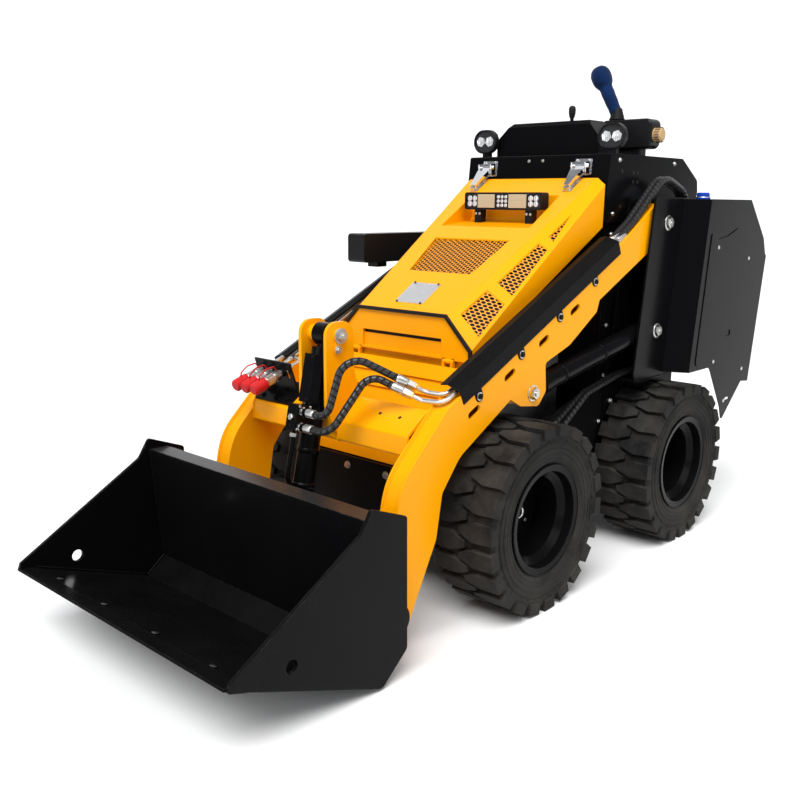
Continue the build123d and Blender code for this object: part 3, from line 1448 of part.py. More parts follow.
# ---------------------------------------------------------------- bucket
BUCKET_SIDE = (
    (1338, 208, 6),
    (1345, 188, 4),
    (1289, 170, 10),
    (867, 6, 20),
    (774, 85, 20),
    (779, 449, 12),
    (905, 497, 12),
    (942, 440, 30),
)
BUCKET_BACK = ((862, 101), (896, 453))
BUCKET_SHEET = (
    (1300, 172, 0),
    (876, 9.5, 0),
    (862, 18, 0),
    (*BUCKET_BACK[0], 0),
    (*BUCKET_BACK[1], 0),
    (841, 453, 0),
    (841, 461, 0),
    (905, 461, 0),
    (871, 102, 0),
    (933, 51, 0),
    (1297, 184, 0),
)
SIDE_HOLE = (1166, 184)
SHEET_HALF_W = BUCKET_W / 2 - BUCKET_SIDE_T
with BuildPart() as bucket_shell:
    for side in (1, -1):
        with BuildSketch(side_plane(side * (BUCKET_W / 2 - BUCKET_SIDE_T / 2))):
            make_face(outline(BUCKET_SIDE))
            with Locations(SIDE_HOLE):
                Circle(SIDE_HOLE_R, mode=Mode.SUBTRACT)
        extrude(amount=BUCKET_SIDE_T / 2, both=True)
    with BuildSketch(side_plane(0)):
        make_face(outline(BUCKET_SHEET))
    extrude(amount=SHEET_HALF_W, both=True)
save(bucket_shell, "bucket_shell")

EDGE_OUTLINE = (
    (LIP_X, 191, 0),
    (1300, 172, 0),
    (1297, 184, 0),
    (LIP_X - 3, 197, 0),
)
with BuildPart() as cutting_edge:
    with BuildSketch(side_plane(0)):
        make_face(outline(EDGE_OUTLINE))
    extrude(amount=SHEET_HALF_W, both=True)
save(cutting_edge, "cutting_edge")

# Plate on the bucket's back with the ears for the arms and for the tilt rod.
hitch_top = toward(BUCKET_BACK[0], BUCKET_BACK[1], 340)
EAR_OUTLINE = (
    (BUCKET_PIN[0], BUCKET_PIN[1] - ARM_BOSS_R, 0),
    (850, 101, 0),
    (863.5, 240, 0),
    (BUCKET_PIN[0], BUCKET_PIN[1] + ARM_BOSS_R, 0),
)
TILT_EAR_OUTLINE = (
    (TILT_BUCKET_PIN[0], TILT_BUCKET_PIN[1] + 28, 0),
    (TILT_BUCKET_PIN[0], TILT_BUCKET_PIN[1] - 28, 0),
    (856, 160, 0),
    (872, 330, 0),
)
HITCH_SIDE = (
    (*BUCKET_BACK[0], 0),
    (*hitch_top, 0),
    (hitch_top[0] - HITCH_T, hitch_top[1], 0),
    (BUCKET_BACK[0][0] - HITCH_T, BUCKET_BACK[0][1], 0),
)
with BuildPart() as hitch_plate:
    with BuildSketch(side_plane(0)):
        make_face(outline(HITCH_SIDE))
    extrude(amount=HITCH_HALF_W, both=True)
save(hitch_plate, "hitch_plate")

with BuildPart() as hitch_ears:
    for side in (1, -1):
        for ear_y in (ARM_INNER_Y - EAR_GAP - EAR_T / 2, ARM_OUTER_Y + EAR_GAP + EAR_T / 2):
            with BuildSketch(side_plane(side * ear_y)):
                make_face(outline(EAR_OUTLINE))
                with Locations(BUCKET_PIN):
                    Circle(ARM_BOSS_R)
            extrude(amount=EAR_T / 2, both=True)
        with BuildSketch(side_plane(side * ARM_MID_Y)):
            with Locations(BUCKET_PIN):
                Circle(BUCKET_PIN_R)
        extrude(amount=ARM_W / 2 + EAR_GAP + EAR_T + 2, both=True)
        with BuildSketch(side_plane(side * (TILT_EYE_W / 2 + 5 + CENTRE_EAR_T / 2))):
            make_face(outline(TILT_EAR_OUTLINE))
            with Locations(TILT_BUCKET_PIN):
                Circle(28)
        extrude(amount=CENTRE_EAR_T / 2, both=True)
    with BuildSketch(side_plane(0)):
        make_face(outline(HITCH_SIDE))
    extrude(amount=HITCH_HALF_W, both=True, mode=Mode.SUBTRACT)
save(hitch_ears, "hitch_ears")
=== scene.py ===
# %% [markdown]
# # Stand-on wheeled skid steer loader
#
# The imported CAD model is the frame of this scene. It gives every size, place and joint.
# The notebook adds the looks: the finish of each surface, and the small fittings that are
# too fine for the CAD, such as weld beads, bolts, lamp elements, hose wraps and tethers.
# The machine stands on a pale floor under soft studio light.

import math

import bmesh
import bpy
from mathutils import Matrix, Vector


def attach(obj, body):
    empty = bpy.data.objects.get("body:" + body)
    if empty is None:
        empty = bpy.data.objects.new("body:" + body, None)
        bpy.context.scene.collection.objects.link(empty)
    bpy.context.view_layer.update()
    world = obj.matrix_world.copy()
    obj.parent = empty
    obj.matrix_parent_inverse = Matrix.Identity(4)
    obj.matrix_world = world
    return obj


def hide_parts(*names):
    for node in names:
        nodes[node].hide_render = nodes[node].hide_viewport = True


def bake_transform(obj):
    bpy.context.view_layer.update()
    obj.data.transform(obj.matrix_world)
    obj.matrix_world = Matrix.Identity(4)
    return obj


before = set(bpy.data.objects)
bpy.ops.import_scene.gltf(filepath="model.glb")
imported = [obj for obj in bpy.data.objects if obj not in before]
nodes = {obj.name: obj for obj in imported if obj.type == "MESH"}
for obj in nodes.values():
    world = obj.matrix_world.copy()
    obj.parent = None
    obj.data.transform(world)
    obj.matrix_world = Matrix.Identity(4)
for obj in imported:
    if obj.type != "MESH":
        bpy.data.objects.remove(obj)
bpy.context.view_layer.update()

# %% [markdown]
# ## Sizes shared by several cells
#
# Lengths are in metres in the frame of the CAD: +X forward, +Y the machine's left, +Z up.
# The long edge of the loader arm slopes down toward the bucket. Many pieces lie along it,
# so its direction is worked out once. The hood's top face slopes too.

# %% Shared sizes
SIDES = (("left", 1), ("right", -1))
ARM_INNER_Y = 0.335
ARM_OUTER_Y = 0.399
ARM_PIVOT = Vector((-0.665, 0.0, 1.159))
LIFT_BASE_PIN = Vector((-0.630, 0.0, 0.779))
LIFT_ARM_PIN = Vector((0.108, 0.0, 0.654))
TILT_TOP = Vector((0.602, 0.0, 0.845))
TILT_BOTTOM = Vector((0.7235, 0.0, 0.270))
BUCKET_PIN = Vector((0.726, 0.0, 0.115))
ARM_EDGE_FRONT = Vector((0.510, 0.0, 0.668))
ARM_EDGE_REAR = Vector((-0.379, 0.0, 1.092))
ARM_DIR = (ARM_EDGE_FRONT - ARM_EDGE_REAR).normalized()
HOOD_FRONT_X, HOOD_FRONT_Z = 0.276, 0.887
HOOD_REAR_X, HOOD_REAR_Z = -0.409, 1.310
HOOD_SLOPE = (HOOD_REAR_Z - HOOD_FRONT_Z) / (HOOD_FRONT_X - HOOD_REAR_X)
HOOD_DIR = Vector((1.0, 0.0, -HOOD_SLOPE)).normalized()
HOOD_UP = Vector((HOOD_SLOPE, 0.0, 1.0)).normalized()


def at(x, y, z, side=1):
    """Point at this distance from the middle on one side of the machine."""
    return Vector((x, side * y, z))


def hood_point(x, y, lift=0.0):
    """Point on the hood's top face at this x and y, raised square to the face."""
    z = HOOD_FRONT_Z + (HOOD_FRONT_X - x) * HOOD_SLOPE
    return Vector((x, y, z)) + HOOD_UP * lift


print("arm slopes", round(math.degrees(math.asin(-ARM_DIR.z)), 1), "degrees")
print("hood slopes", round(math.degrees(math.atan(HOOD_SLOPE)), 1), "degrees")

# %% [markdown]
# ## Node groups
#
# Effects that several materials share are node groups. Each gives out only values or
# normals. `Soft edges` rounds sharp edges in the shading and finds them. `Dust` gathers on
# faces that look up and toward the ground. `Fine scratches` breaks up the gloss.

# %% Group helpers


class Graph:
    """Small helper that adds and links nodes in one tree."""

    def __init__(self, tree):
        self.tree = tree

    def add(self, kind, inputs=None, **settings):
        node = self.tree.nodes.new(kind)
        for name, value in settings.items():
            setattr(node, name, value)
        for name, value in (inputs or {}).items():
            self.put(node.inputs[name], value)
        return node

    def put(self, socket, value):
        """Links a socket or sets its value; a colour may leave out its alpha."""
        if isinstance(value, bpy.types.NodeSocket):
            self.tree.links.new(value, socket)
        elif socket.type == "RGBA" and len(value) == 3:
            socket.default_value = (*value, 1.0)
        else:
            socket.default_value = value

    def place(self, output="Object"):
        return self.add("ShaderNodeTexCoord").outputs[output]

    def split(self, vector):
        return self.add("ShaderNodeSeparateXYZ", {"Vector": vector}).outputs

    def math(self, operation, a, b=0.0, clamp=False):
        node = self.add("ShaderNodeMath", {0: a, 1: b}, operation=operation, use_clamp=clamp)
        return node.outputs[0]

    def vector(self, operation, a, b, output=0):
        node = self.add("ShaderNodeVectorMath", {0: a, 1: b}, operation=operation)
        return node.outputs[output]

    def ramp(self, value, low, high, out_low=0.0, out_high=1.0):
        node = self.add("ShaderNodeMapRange")
        for socket, given in zip(node.inputs, (value, low, high, out_low, out_high)):
            self.put(socket, given)
        return node.outputs["Result"]

    def mix(self, share, a, b):
        node = self.add("ShaderNodeMix", {0: share, 6: a, 7: b}, data_type="RGBA")
        return node.outputs[2]

    def noise(self, vector, scale, detail=4.0, roughness=0.5):
        node = self.add(
            "ShaderNodeTexNoise",
            {"Vector": vector, "Scale": scale, "Detail": detail, "Roughness": roughness},
        )
        return node.outputs["Fac"]

    def wave(self, vector, scale, direction, distortion=0.0):
        node = self.add(
            "ShaderNodeTexWave",
            {"Vector": vector, "Scale": scale, "Distortion": distortion},
            bands_direction=direction,
        )
        return node.outputs["Fac"]

    def group(self, tree, **values):
        """Node of this group, with values by socket name."""
        node = self.add("ShaderNodeGroup", node_tree=tree)
        for name, value in values.items():
            node.inputs[name.replace("_", " ").capitalize()].default_value = value
        return node.outputs


def new_group(name, inputs, outputs):
    """Empty shader group with these sockets; returns its graph, entry and exit."""
    tree = bpy.data.node_groups.new(name, "ShaderNodeTree")
    for socket_name, kind, default in inputs:
        socket = tree.interface.new_socket(socket_name, in_out="INPUT", socket_type=kind)
        if default is not None:
            socket.default_value = default
    for socket_name, kind in outputs:
        tree.interface.new_socket(socket_name, in_out="OUTPUT", socket_type=kind)
    graph = Graph(tree)
    return graph, graph.add("NodeGroupInput").outputs, graph.add("NodeGroupOutput").inputs


# %% Soft edges group


def make_soft_edges():
    graph, entry, leave = new_group(
        "Soft edges",
        [("Radius", "NodeSocketFloat", 0.0015)],
        [("Normal", "NodeSocketVector"), ("Edge", "NodeSocketFloat")],
    )
    bevel = graph.add("ShaderNodeBevel", {"Radius": entry["Radius"]}, samples=6)
    flat = graph.add("ShaderNodeNewGeometry").outputs["Normal"]
    agree = graph.vector("DOT_PRODUCT", bevel.outputs["Normal"], flat, "Value")
    graph.put(leave["Edge"], graph.ramp(agree, 0.995, 0.80))
    graph.put(leave["Normal"], bevel.outputs["Normal"])
    return graph.tree


SOFT_EDGES = make_soft_edges()

# %% Dust group


def make_dust():
    graph, entry, leave = new_group(
        "Dust",
        [
            ("Amount", "NodeSocketFloat", 0.3),
            ("Low height", "NodeSocketFloat", 0.6),
            ("Patch scale", "NodeSocketFloat", 5.0),
        ],
        [("Mask", "NodeSocketFloat")],
    )
    place = graph.place()
    shape = graph.add("ShaderNodeNewGeometry").outputs
    upward = graph.ramp(graph.split(shape["Normal"])["Z"], 0.2, 1.0, 0.0, 0.7)
    low = graph.ramp(graph.split(shape["Position"])["Z"], 0.0, 1.0, 1.0, 0.0)
    near_ground = graph.math("MULTIPLY", low, entry["Low height"])
    patches = graph.ramp(graph.noise(place, entry["Patch scale"], 6.0, 0.65), 0.35, 0.7)
    specks = graph.ramp(graph.noise(place, 140.0, 2.0, 0.7), 0.55, 0.75, 0.0, 0.35)
    uneven = graph.math("ADD", patches, specks)
    lie = graph.math("ADD", upward, near_ground)
    dusty = graph.math("MULTIPLY", lie, uneven)
    graph.put(leave["Mask"], graph.math("MULTIPLY", dusty, entry["Amount"], True))
    return graph.tree


DUST = make_dust()

# %% Fine scratches group


def make_scratches():
    graph, entry, leave = new_group(
        "Fine scratches",
        [("Scale", "NodeSocketFloat", 30.0), ("Stretch", "NodeSocketVector", (1.0, 1.0, 12.0))],
        [("Mask", "NodeSocketFloat")],
    )
    place = graph.place()
    drawn = graph.vector("MULTIPLY", place, entry["Stretch"])
    thin = graph.ramp(graph.noise(drawn, entry["Scale"], 8.0, 0.7), 0.6, 0.68)
    blotches = graph.ramp(graph.noise(place, 3.0, 3.0, 0.5), 0.45, 0.65)
    graph.put(leave["Mask"], graph.math("MULTIPLY", thin, blotches, True))
    return graph.tree


SCRATCHES = make_scratches()
print("groups:", ", ".join(group.name for group in bpy.data.node_groups))

# %% [markdown]
# ## Materials
#
# Every material starts as a Principled shader with soft edges. A short function then adds
# what that surface shows: dust, scratches, orange peel, brushing, wraps or weave.

# %% Material starter
DUST_COLOR = (0.30, 0.26, 0.20)
CHIPPED_COLOR = (0.20, 0.19, 0.18)


def shade(color, share):
    """The same colour, darkened to this share."""
    return tuple(part * share for part in color)


def new_material(name, color, roughness, metallic=0.0, coat=0.0, edge=0.0015, specular=0.5):
    """Principled material with soft edges; returns it with its graph, shader and edge group."""
    material = bpy.data.materials.new(name)
    material.use_nodes = True
    graph = Graph(material.node_tree)
    shader = material.node_tree.nodes["Principled BSDF"].inputs
    graph.put(shader["Base Color"], color)
    graph.put(shader["Roughness"], roughness)
    graph.put(shader["Metallic"], metallic)
    graph.put(shader["Coat Weight"], coat)
    graph.put(shader["Coat Roughness"], 0.06)
    graph.put(shader["Specular IOR Level"], specular)
    soft = graph.group(SOFT_EDGES, radius=edge)
    graph.put(shader["Normal"], soft["Normal"])
    return material, graph, shader, soft


def add_bump(graph, shader, soft, height, strength, distance):
    """Puts a bump over the soft edges."""
    bump = graph.add(
        "ShaderNodeBump",
        {"Height": height, "Strength": strength, "Distance": distance, "Normal": soft["Normal"]},
    )
    graph.put(shader["Normal"], bump.outputs["Normal"])


# %% Paints


def paint(name, color, roughness, coat, dust, peel=0.02, edge=0.0015, worn=0.0, specular=0.5):
    """Sprayed paint: orange peel, light scratches, dust, and bare or pale edges where worn."""
    material, graph, shader, soft = new_material(
        name, color, roughness, coat=coat, edge=edge, specular=specular
    )
    place = graph.place()
    dusty = graph.group(DUST, amount=dust)["Mask"]
    scratched = graph.group(SCRATCHES)["Mask"]
    tone = graph.ramp(graph.noise(place, 2.2, 3.0), 0.3, 0.7, 0.0, 0.12)
    body = graph.mix(tone, color, shade(color, 0.8))
    if worn:
        chips = graph.ramp(graph.noise(place, 60.0, 6.0, 0.7), 0.5, 0.62)
        chipped = graph.math("MULTIPLY", soft["Edge"], chips, True)
        body = graph.mix(graph.math("MULTIPLY", chipped, worn), body, CHIPPED_COLOR)
    graph.put(shader["Base Color"], graph.mix(dusty, body, DUST_COLOR))
    rough = graph.math("ADD", roughness, graph.math("MULTIPLY", dusty, 0.45))
    rough = graph.math("ADD", rough, graph.math("MULTIPLY", scratched, 0.18), True)
    graph.put(shader["Roughness"], rough)
    clean = graph.math("SUBTRACT", 1.0, dusty)
    graph.put(shader["Coat Weight"], graph.math("MULTIPLY", clean, coat))
    add_bump(graph, shader, soft, graph.noise(place, 420.0, 2.0), peel, 0.0006)
    return material


GLOSS_BLACK = (0.003, 0.003, 0.0035)
YELLOW = paint("yellow_paint", (0.93, 0.365, 0.0), 0.30, 0.04, 0.012, worn=0.2, specular=0.12)
BLACK = paint("black_gloss_paint", GLOSS_BLACK, 0.22, 0.02, 0.008, worn=0.3, specular=0.06)
BUCKET_BLACK = paint(
    "bucket_paint", GLOSS_BLACK, 0.20, 0.02, 0.010, peel=0.04, worn=0.4, specular=0.07
)
DARK = paint(
    "dark_frame_paint", (0.004, 0.004, 0.0045), 0.40, 0.0, 0.014, worn=0.25, specular=0.06
)
# Dark grey paint for the bucket's top lip, lighter than the black as a painted highlight; its edges
# also chip like the other paints.
TOP_LIP_HIGHLIGHT_PAINT = paint(
    "top_bar_painted_highlight", (0.016, 0.016, 0.0175), 0.32, 0.04, 0.02, worn=0.4, specular=0.15
)

# %% Rubber and plastic


def tyre_rubber():
    """Matt, mottled and finely cracked rubber with pale dust."""
    material, graph, shader, soft = new_material(
        "tyre_rubber", (0.018, 0.018, 0.019), 0.72, edge=0.004, specular=0.1
    )
    place = graph.place()
    dusty = graph.group(DUST, amount=0.22, low_height=0.9, patch_scale=9.0)["Mask"]
    mottle = graph.ramp(graph.noise(place, 18.0, 6.0, 0.7), 0.35, 0.75, 0.0, 0.5)
    grey = graph.mix(mottle, (0.009, 0.009, 0.0095), (0.022, 0.0215, 0.021))
    graph.put(shader["Base Color"], graph.mix(dusty, grey, (0.16, 0.145, 0.12)))
    graph.put(shader["Roughness"], graph.ramp(mottle, 0.0, 0.5, 0.6, 0.85))
    grain = graph.noise(place, 900.0, 3.0)
    cracks = graph.add("ShaderNodeTexVoronoi", {"Vector": place, "Scale": 260.0})
    height = graph.math("ADD", grain, graph.math("MULTIPLY", cracks.outputs["Distance"], 0.5))
    add_bump(graph, shader, soft, height, 0.25, 0.0008)
    return material


def plain_rubber(name, color, roughness):
    """Rubber or plastic with a fine moulded grain and a little dust."""
    material, graph, shader, soft = new_material(
        name, color, roughness, edge=0.001, specular=0.15
    )
    dusty = graph.group(DUST, amount=0.05)["Mask"]
    graph.put(shader["Base Color"], graph.mix(dusty, color, DUST_COLOR))
    add_bump(graph, shader, soft, graph.noise(graph.place(), 1200.0, 2.0), 0.2, 0.0005)
    return material


TYRE = tyre_rubber()
RUBBER = plain_rubber("black_rubber", (0.010, 0.010, 0.010), 0.5)
CAP_RED = plain_rubber("red_cap_rubber", (0.55, 0.012, 0.015), 0.42)
PLASTIC = plain_rubber("black_plastic", (0.008, 0.008, 0.009), 0.34)
TAN = plain_rubber("tan_plastic", (0.50, 0.33, 0.16), 0.5)
BEIGE = plain_rubber("beige_reflector", (0.62, 0.52, 0.36), 0.35)
CAP_BLUE = plain_rubber("blue_cap_plastic", (0.01, 0.06, 0.42), 0.3)

# %% Metals


def metal(name, color, roughness, brush_scale=0.0, stain=0.0):
    """Bare or plated metal, brushed or finely grained."""
    material, graph, shader, soft = new_material(name, color, roughness, 1.0, edge=0.0008)
    place = graph.place()
    cloudy = graph.noise(place, 35.0, 5.0, 0.6)
    rough = graph.ramp(cloudy, 0.3, 0.7, roughness * 0.75, roughness * 1.35)
    graph.put(shader["Roughness"], rough)
    if stain:
        spots = graph.ramp(graph.noise(place, 22.0, 6.0, 0.7), 0.52, 0.7, 0.0, stain)
        graph.put(shader["Base Color"], graph.mix(spots, color, shade(color, 0.45)))
    if brush_scale:
        streaks = graph.vector("MULTIPLY", place, (1.0, 40.0, 1.0))
        add_bump(graph, shader, soft, graph.noise(streaks, brush_scale, 3.0), 0.015, 0.0002)
    return material


ZINC = metal("zinc_plate", (0.62, 0.62, 0.60), 0.32, stain=0.5)
CHROME = metal("chrome_rod", (0.82, 0.82, 0.84), 0.07)
STEEL = metal("bright_steel", (0.70, 0.70, 0.69), 0.20, stain=0.25)
TUBE_STEEL = metal("tube_steel", (0.66, 0.66, 0.65), 0.34, stain=0.15)
ALLOY = metal("brushed_plate", (0.76, 0.76, 0.77), 0.30, brush_scale=90.0)
BRASS = metal("brass", (0.72, 0.50, 0.20), 0.28, stain=0.4)
CAST = metal("engine_cast_iron", (0.12, 0.12, 0.125), 0.6, stain=0.5)
DARK_STEEL = metal("dark_steel", (0.10, 0.10, 0.10), 0.4, stain=0.4)

# %% [markdown]
# The spiral wrap of the hoses is a groove that climbs one pitch for each turn. Hose meshes
# made here carry a UV map whose V runs in metres along the hose and whose U runs once
# round it. The vents' sheets carry one in metres, in which their holes are laid out.

# %% Wrapped hose
WRAP_PITCH = 0.019


def hose_wrap():
    """Black hose in a glossy spiral wrap, its gaps between turns painted darker as painted shade.
    """
    material, graph, shader, soft = new_material(
        "wrapped_hose", (0.017, 0.017, 0.018), 0.5, edge=0.0005
    )
    uv = graph.split(graph.place("UV"))
    climbed = graph.math("MULTIPLY", uv["Y"], 1 / WRAP_PITCH)
    phase = graph.math("FRACT", graph.math("ADD", climbed, uv["X"]))
    groove = graph.math("ABSOLUTE", graph.math("SUBTRACT", phase, 0.5))
    band = graph.ramp(groove, 0.30, 0.46, 1.0, 0.0)
    add_bump(graph, shader, soft, band, 1.0, 0.0060)
    # The grooves between the turns are painted near black: painted shade in the grooves.
    wrap = graph.mix(band, (0.002, 0.002, 0.002), (0.020, 0.020, 0.021))
    graph.put(shader["Base Color"], wrap)
    graph.put(shader["Roughness"], graph.ramp(band, 0.0, 1.0, 0.8, 0.30))
    return material


WRAP = hose_wrap()

# %% Cloth, lamp glass, vent holes


def grip_cloth():
    """Creased blue cloth wrapped round the joystick, painted darker in its creases as painted
    shade.
    """
    material, graph, shader, soft = new_material(
        "blue_grip_cloth", (0.003, 0.04, 0.17), 0.85, edge=0.001, specular=0.1
    )
    place = graph.place()
    graph.put(shader["Sheen Weight"], 0.08)
    threads = [graph.wave(place, 160.0, direction, 1.5) for direction in "XZ"]
    weave = graph.math("MAXIMUM", *threads)
    folds = graph.noise(place, 22.0, 3.0)
    height = graph.math("ADD", weave, graph.math("MULTIPLY", folds, 6.0))
    add_bump(graph, shader, soft, height, 0.5, 0.0016)
    # The colour follows the folds and is darker in their hollows: painted shade in the creases.
    tone = graph.ramp(folds, 0.3, 0.7)
    graph.put(shader["Base Color"], graph.mix(tone, (0.0005, 0.010, 0.045), (0.002, 0.022, 0.10)))
    return material


def lamp_glass():
    """Pale lens with soft upright ribs in front of its reflector."""
    material, graph, shader, soft = new_material(
        "lamp_lens", (0.62, 0.64, 0.66), 0.10, metallic=0.25, coat=1.0, edge=0.0005
    )
    ribs = graph.wave(graph.place(), 40.0, "Y")
    graph.put(shader["Base Color"], graph.mix(ribs, (0.40, 0.41, 0.43), (0.82, 0.83, 0.85)))
    add_bump(graph, shader, soft, ribs, 0.2, 0.0006)
    return material


def dark_glass():
    """Smoked pane behind the lamps' reflectors."""
    material, graph, shader, _ = new_material(
        "lamp_pane", (0.02, 0.02, 0.022), 0.08, coat=0.6, edge=0.0005
    )
    smears = graph.ramp(graph.noise(graph.place(), 14.0, 5.0), 0.4, 0.7, 0.05, 0.18)
    graph.put(shader["Roughness"], smears)
    return material


HOLE_PITCH = 0.0150
HOLE_RADIUS = 0.0060
ROW_STRETCH = 3**0.5


def perforated(name, color):
    """Sheet with round holes in a staggered grid, cut by alpha in the sheet's own UV."""
    material, graph, shader, _ = new_material(name, color, 0.45, edge=0.0003)
    uv = graph.split(graph.place("UV"))
    distances = []
    for shift in (0.0, 0.5):
        steps = []
        for axis, stretch in (("X", 1.0), ("Y", ROW_STRETCH)):
            cells = graph.math("MULTIPLY", uv[axis], 1 / (HOLE_PITCH * stretch))
            inside = graph.math("FRACT", graph.math("ADD", cells, shift))
            step = graph.math("MULTIPLY", graph.math("SUBTRACT", inside, 0.5), stretch)
            steps.append(graph.math("MULTIPLY", step, step))
        distances.append(graph.math("SQRT", graph.math("ADD", *steps)))
    nearest = graph.math("MINIMUM", *distances)
    solid = graph.math("GREATER_THAN", nearest, HOLE_RADIUS / HOLE_PITCH)
    graph.put(shader["Alpha"], solid)
    return material


GRIP = grip_cloth()
LENS = lamp_glass()
PANE = dark_glass()
MESH = perforated("vent_mesh", (0.80, 0.30, 0.003))
# Near black paint for sheets and discs that are painted shade inside holes, slits and the engine
# bay.
PAINTED_SHADE = paint("painted_shade_dark", (0.004, 0.004, 0.004), 0.8, 0.0, 0.0)
print("materials:", len(bpy.data.materials))

# %% [markdown]
# ## Finish of the CAD pieces
#
# Each CAD node gets the material that its name calls for. The longest matching start of a
# name wins, so one table covers both sides.

# %% Materials by node
FINISH = (
    (TYRE, "tyre"),
    (BLACK, "rim tower tank side_shield body_shell console_box console_panel coupler_bracket"),
    (BLACK, "lift_barrel tilt_barrel hitch"),
    (DARK, "wheel_motors chassis_frame operator_platform hose_guards"),
    (CAST, "engine_block"),
    (CAP_BLUE, "tank_cap"),
    (PLASTIC, "control_pod work_lamps light_bar side_box"),
    (GRIP, "joystick"),
    (TAN, "pod_knob"),
    (PANE, "work_lamp_lenses light_bar_lenses"),
    (YELLOW, "grille_panel hood_shell arm_left arm_right cross_tube tilt_clevis"),
    (MESH, "hood_mesh"),
    (RUBBER, "hood_trim side_hoses pivot_hoses tilt_hoses"),
    (ZINC, "hood_latches"),
    (ALLOY, "badge_plate"),
    (TUBE_STEEL, "arm_tubes"),
    (CAP_RED, "coupler_caps"),
    (CHROME, "lift_rod tilt_rod"),
    (BUCKET_BLACK, "bucket_shell cutting_edge"),
)
by_start = {start: material for material, starts in FINISH for start in starts.split()}
for node_name, node in nodes.items():
    matching = [start for start in by_start if node_name.startswith(start)]
    node.data.materials.clear()
    node.data.materials.append(by_start[max(matching, key=len)])
print("finished", len(nodes), "nodes")

# %% [markdown]
# ## Tools for the small fittings
#
# A `Shape` gathers simple solids in one mesh: cylinders, hexagons, boxes, lathed profiles
# and tubes. It becomes one piece that rides on a CAD body.

# %% Route tools
ALONG_X = Vector((1, 0, 0))
ALONG_Y = Vector((0, 1, 0))
ALONG_Z = Vector((0, 0, 1))


def turns(count, shift=0.0, closed=False):
    """Angles of this many equal steps round a circle; closed ends on the first again."""
    return [2 * math.pi * (number + shift) / count for number in range(count + closed)]


def on_circle(centre, radius, angle):
    """Point on an upright circle whose plane runs fore and aft."""
    return centre + Vector((radius * math.cos(angle), 0, radius * math.sin(angle)))


def facing(direction):
    """Rotation that turns +Z to this direction."""
    return Vector(direction).normalized().to_track_quat("Z", "Y").to_matrix().to_4x4()


def filleted(points, radii, step=math.radians(7)):
    """Points along straight runs joined by arcs; radii has one value for each inner corner."""
    points = [Vector(point) for point in points]
    path = [points[0]]
    for before, corner, after, radius in zip(points, points[1:], points[2:], radii):
        enter = (before - corner).normalized()
        leave = (after - corner).normalized()
        half = enter.angle(leave) / 2
        if half > math.radians(89.5):
            path.append(corner)
            continue
        centre = corner + (enter + leave).normalized() * (radius / math.sin(half))
        start = corner + enter * (radius / math.tan(half)) - centre
        normal = enter.cross(leave).normalized()
        sweep = math.pi - 2 * half
        count = max(2, int(sweep / step))
        for number in range(count + 1):
            turn = Matrix.Rotation(-sweep * number / count, 3, normal)
            path.append(centre + turn @ start)
    path.append(points[-1])
    return path


def sampled(path, step, whole=math.ceil):
    """The same route with a point about every step, so that a tube along it can ripple."""
    fine = [path[0]]
    for before, after in zip(path, path[1:]):
        count = max(1, whole((after - before).length / step))
        fine += [before.lerp(after, number / count) for number in range(1, count + 1)]
    return fine


# %% Shape builder
BEAD_RIPPLE, BEAD_PITCH, BEAD_STEP = 0.16, 0.0045, 0.0011
CHAMFER_SHARE = 0.12


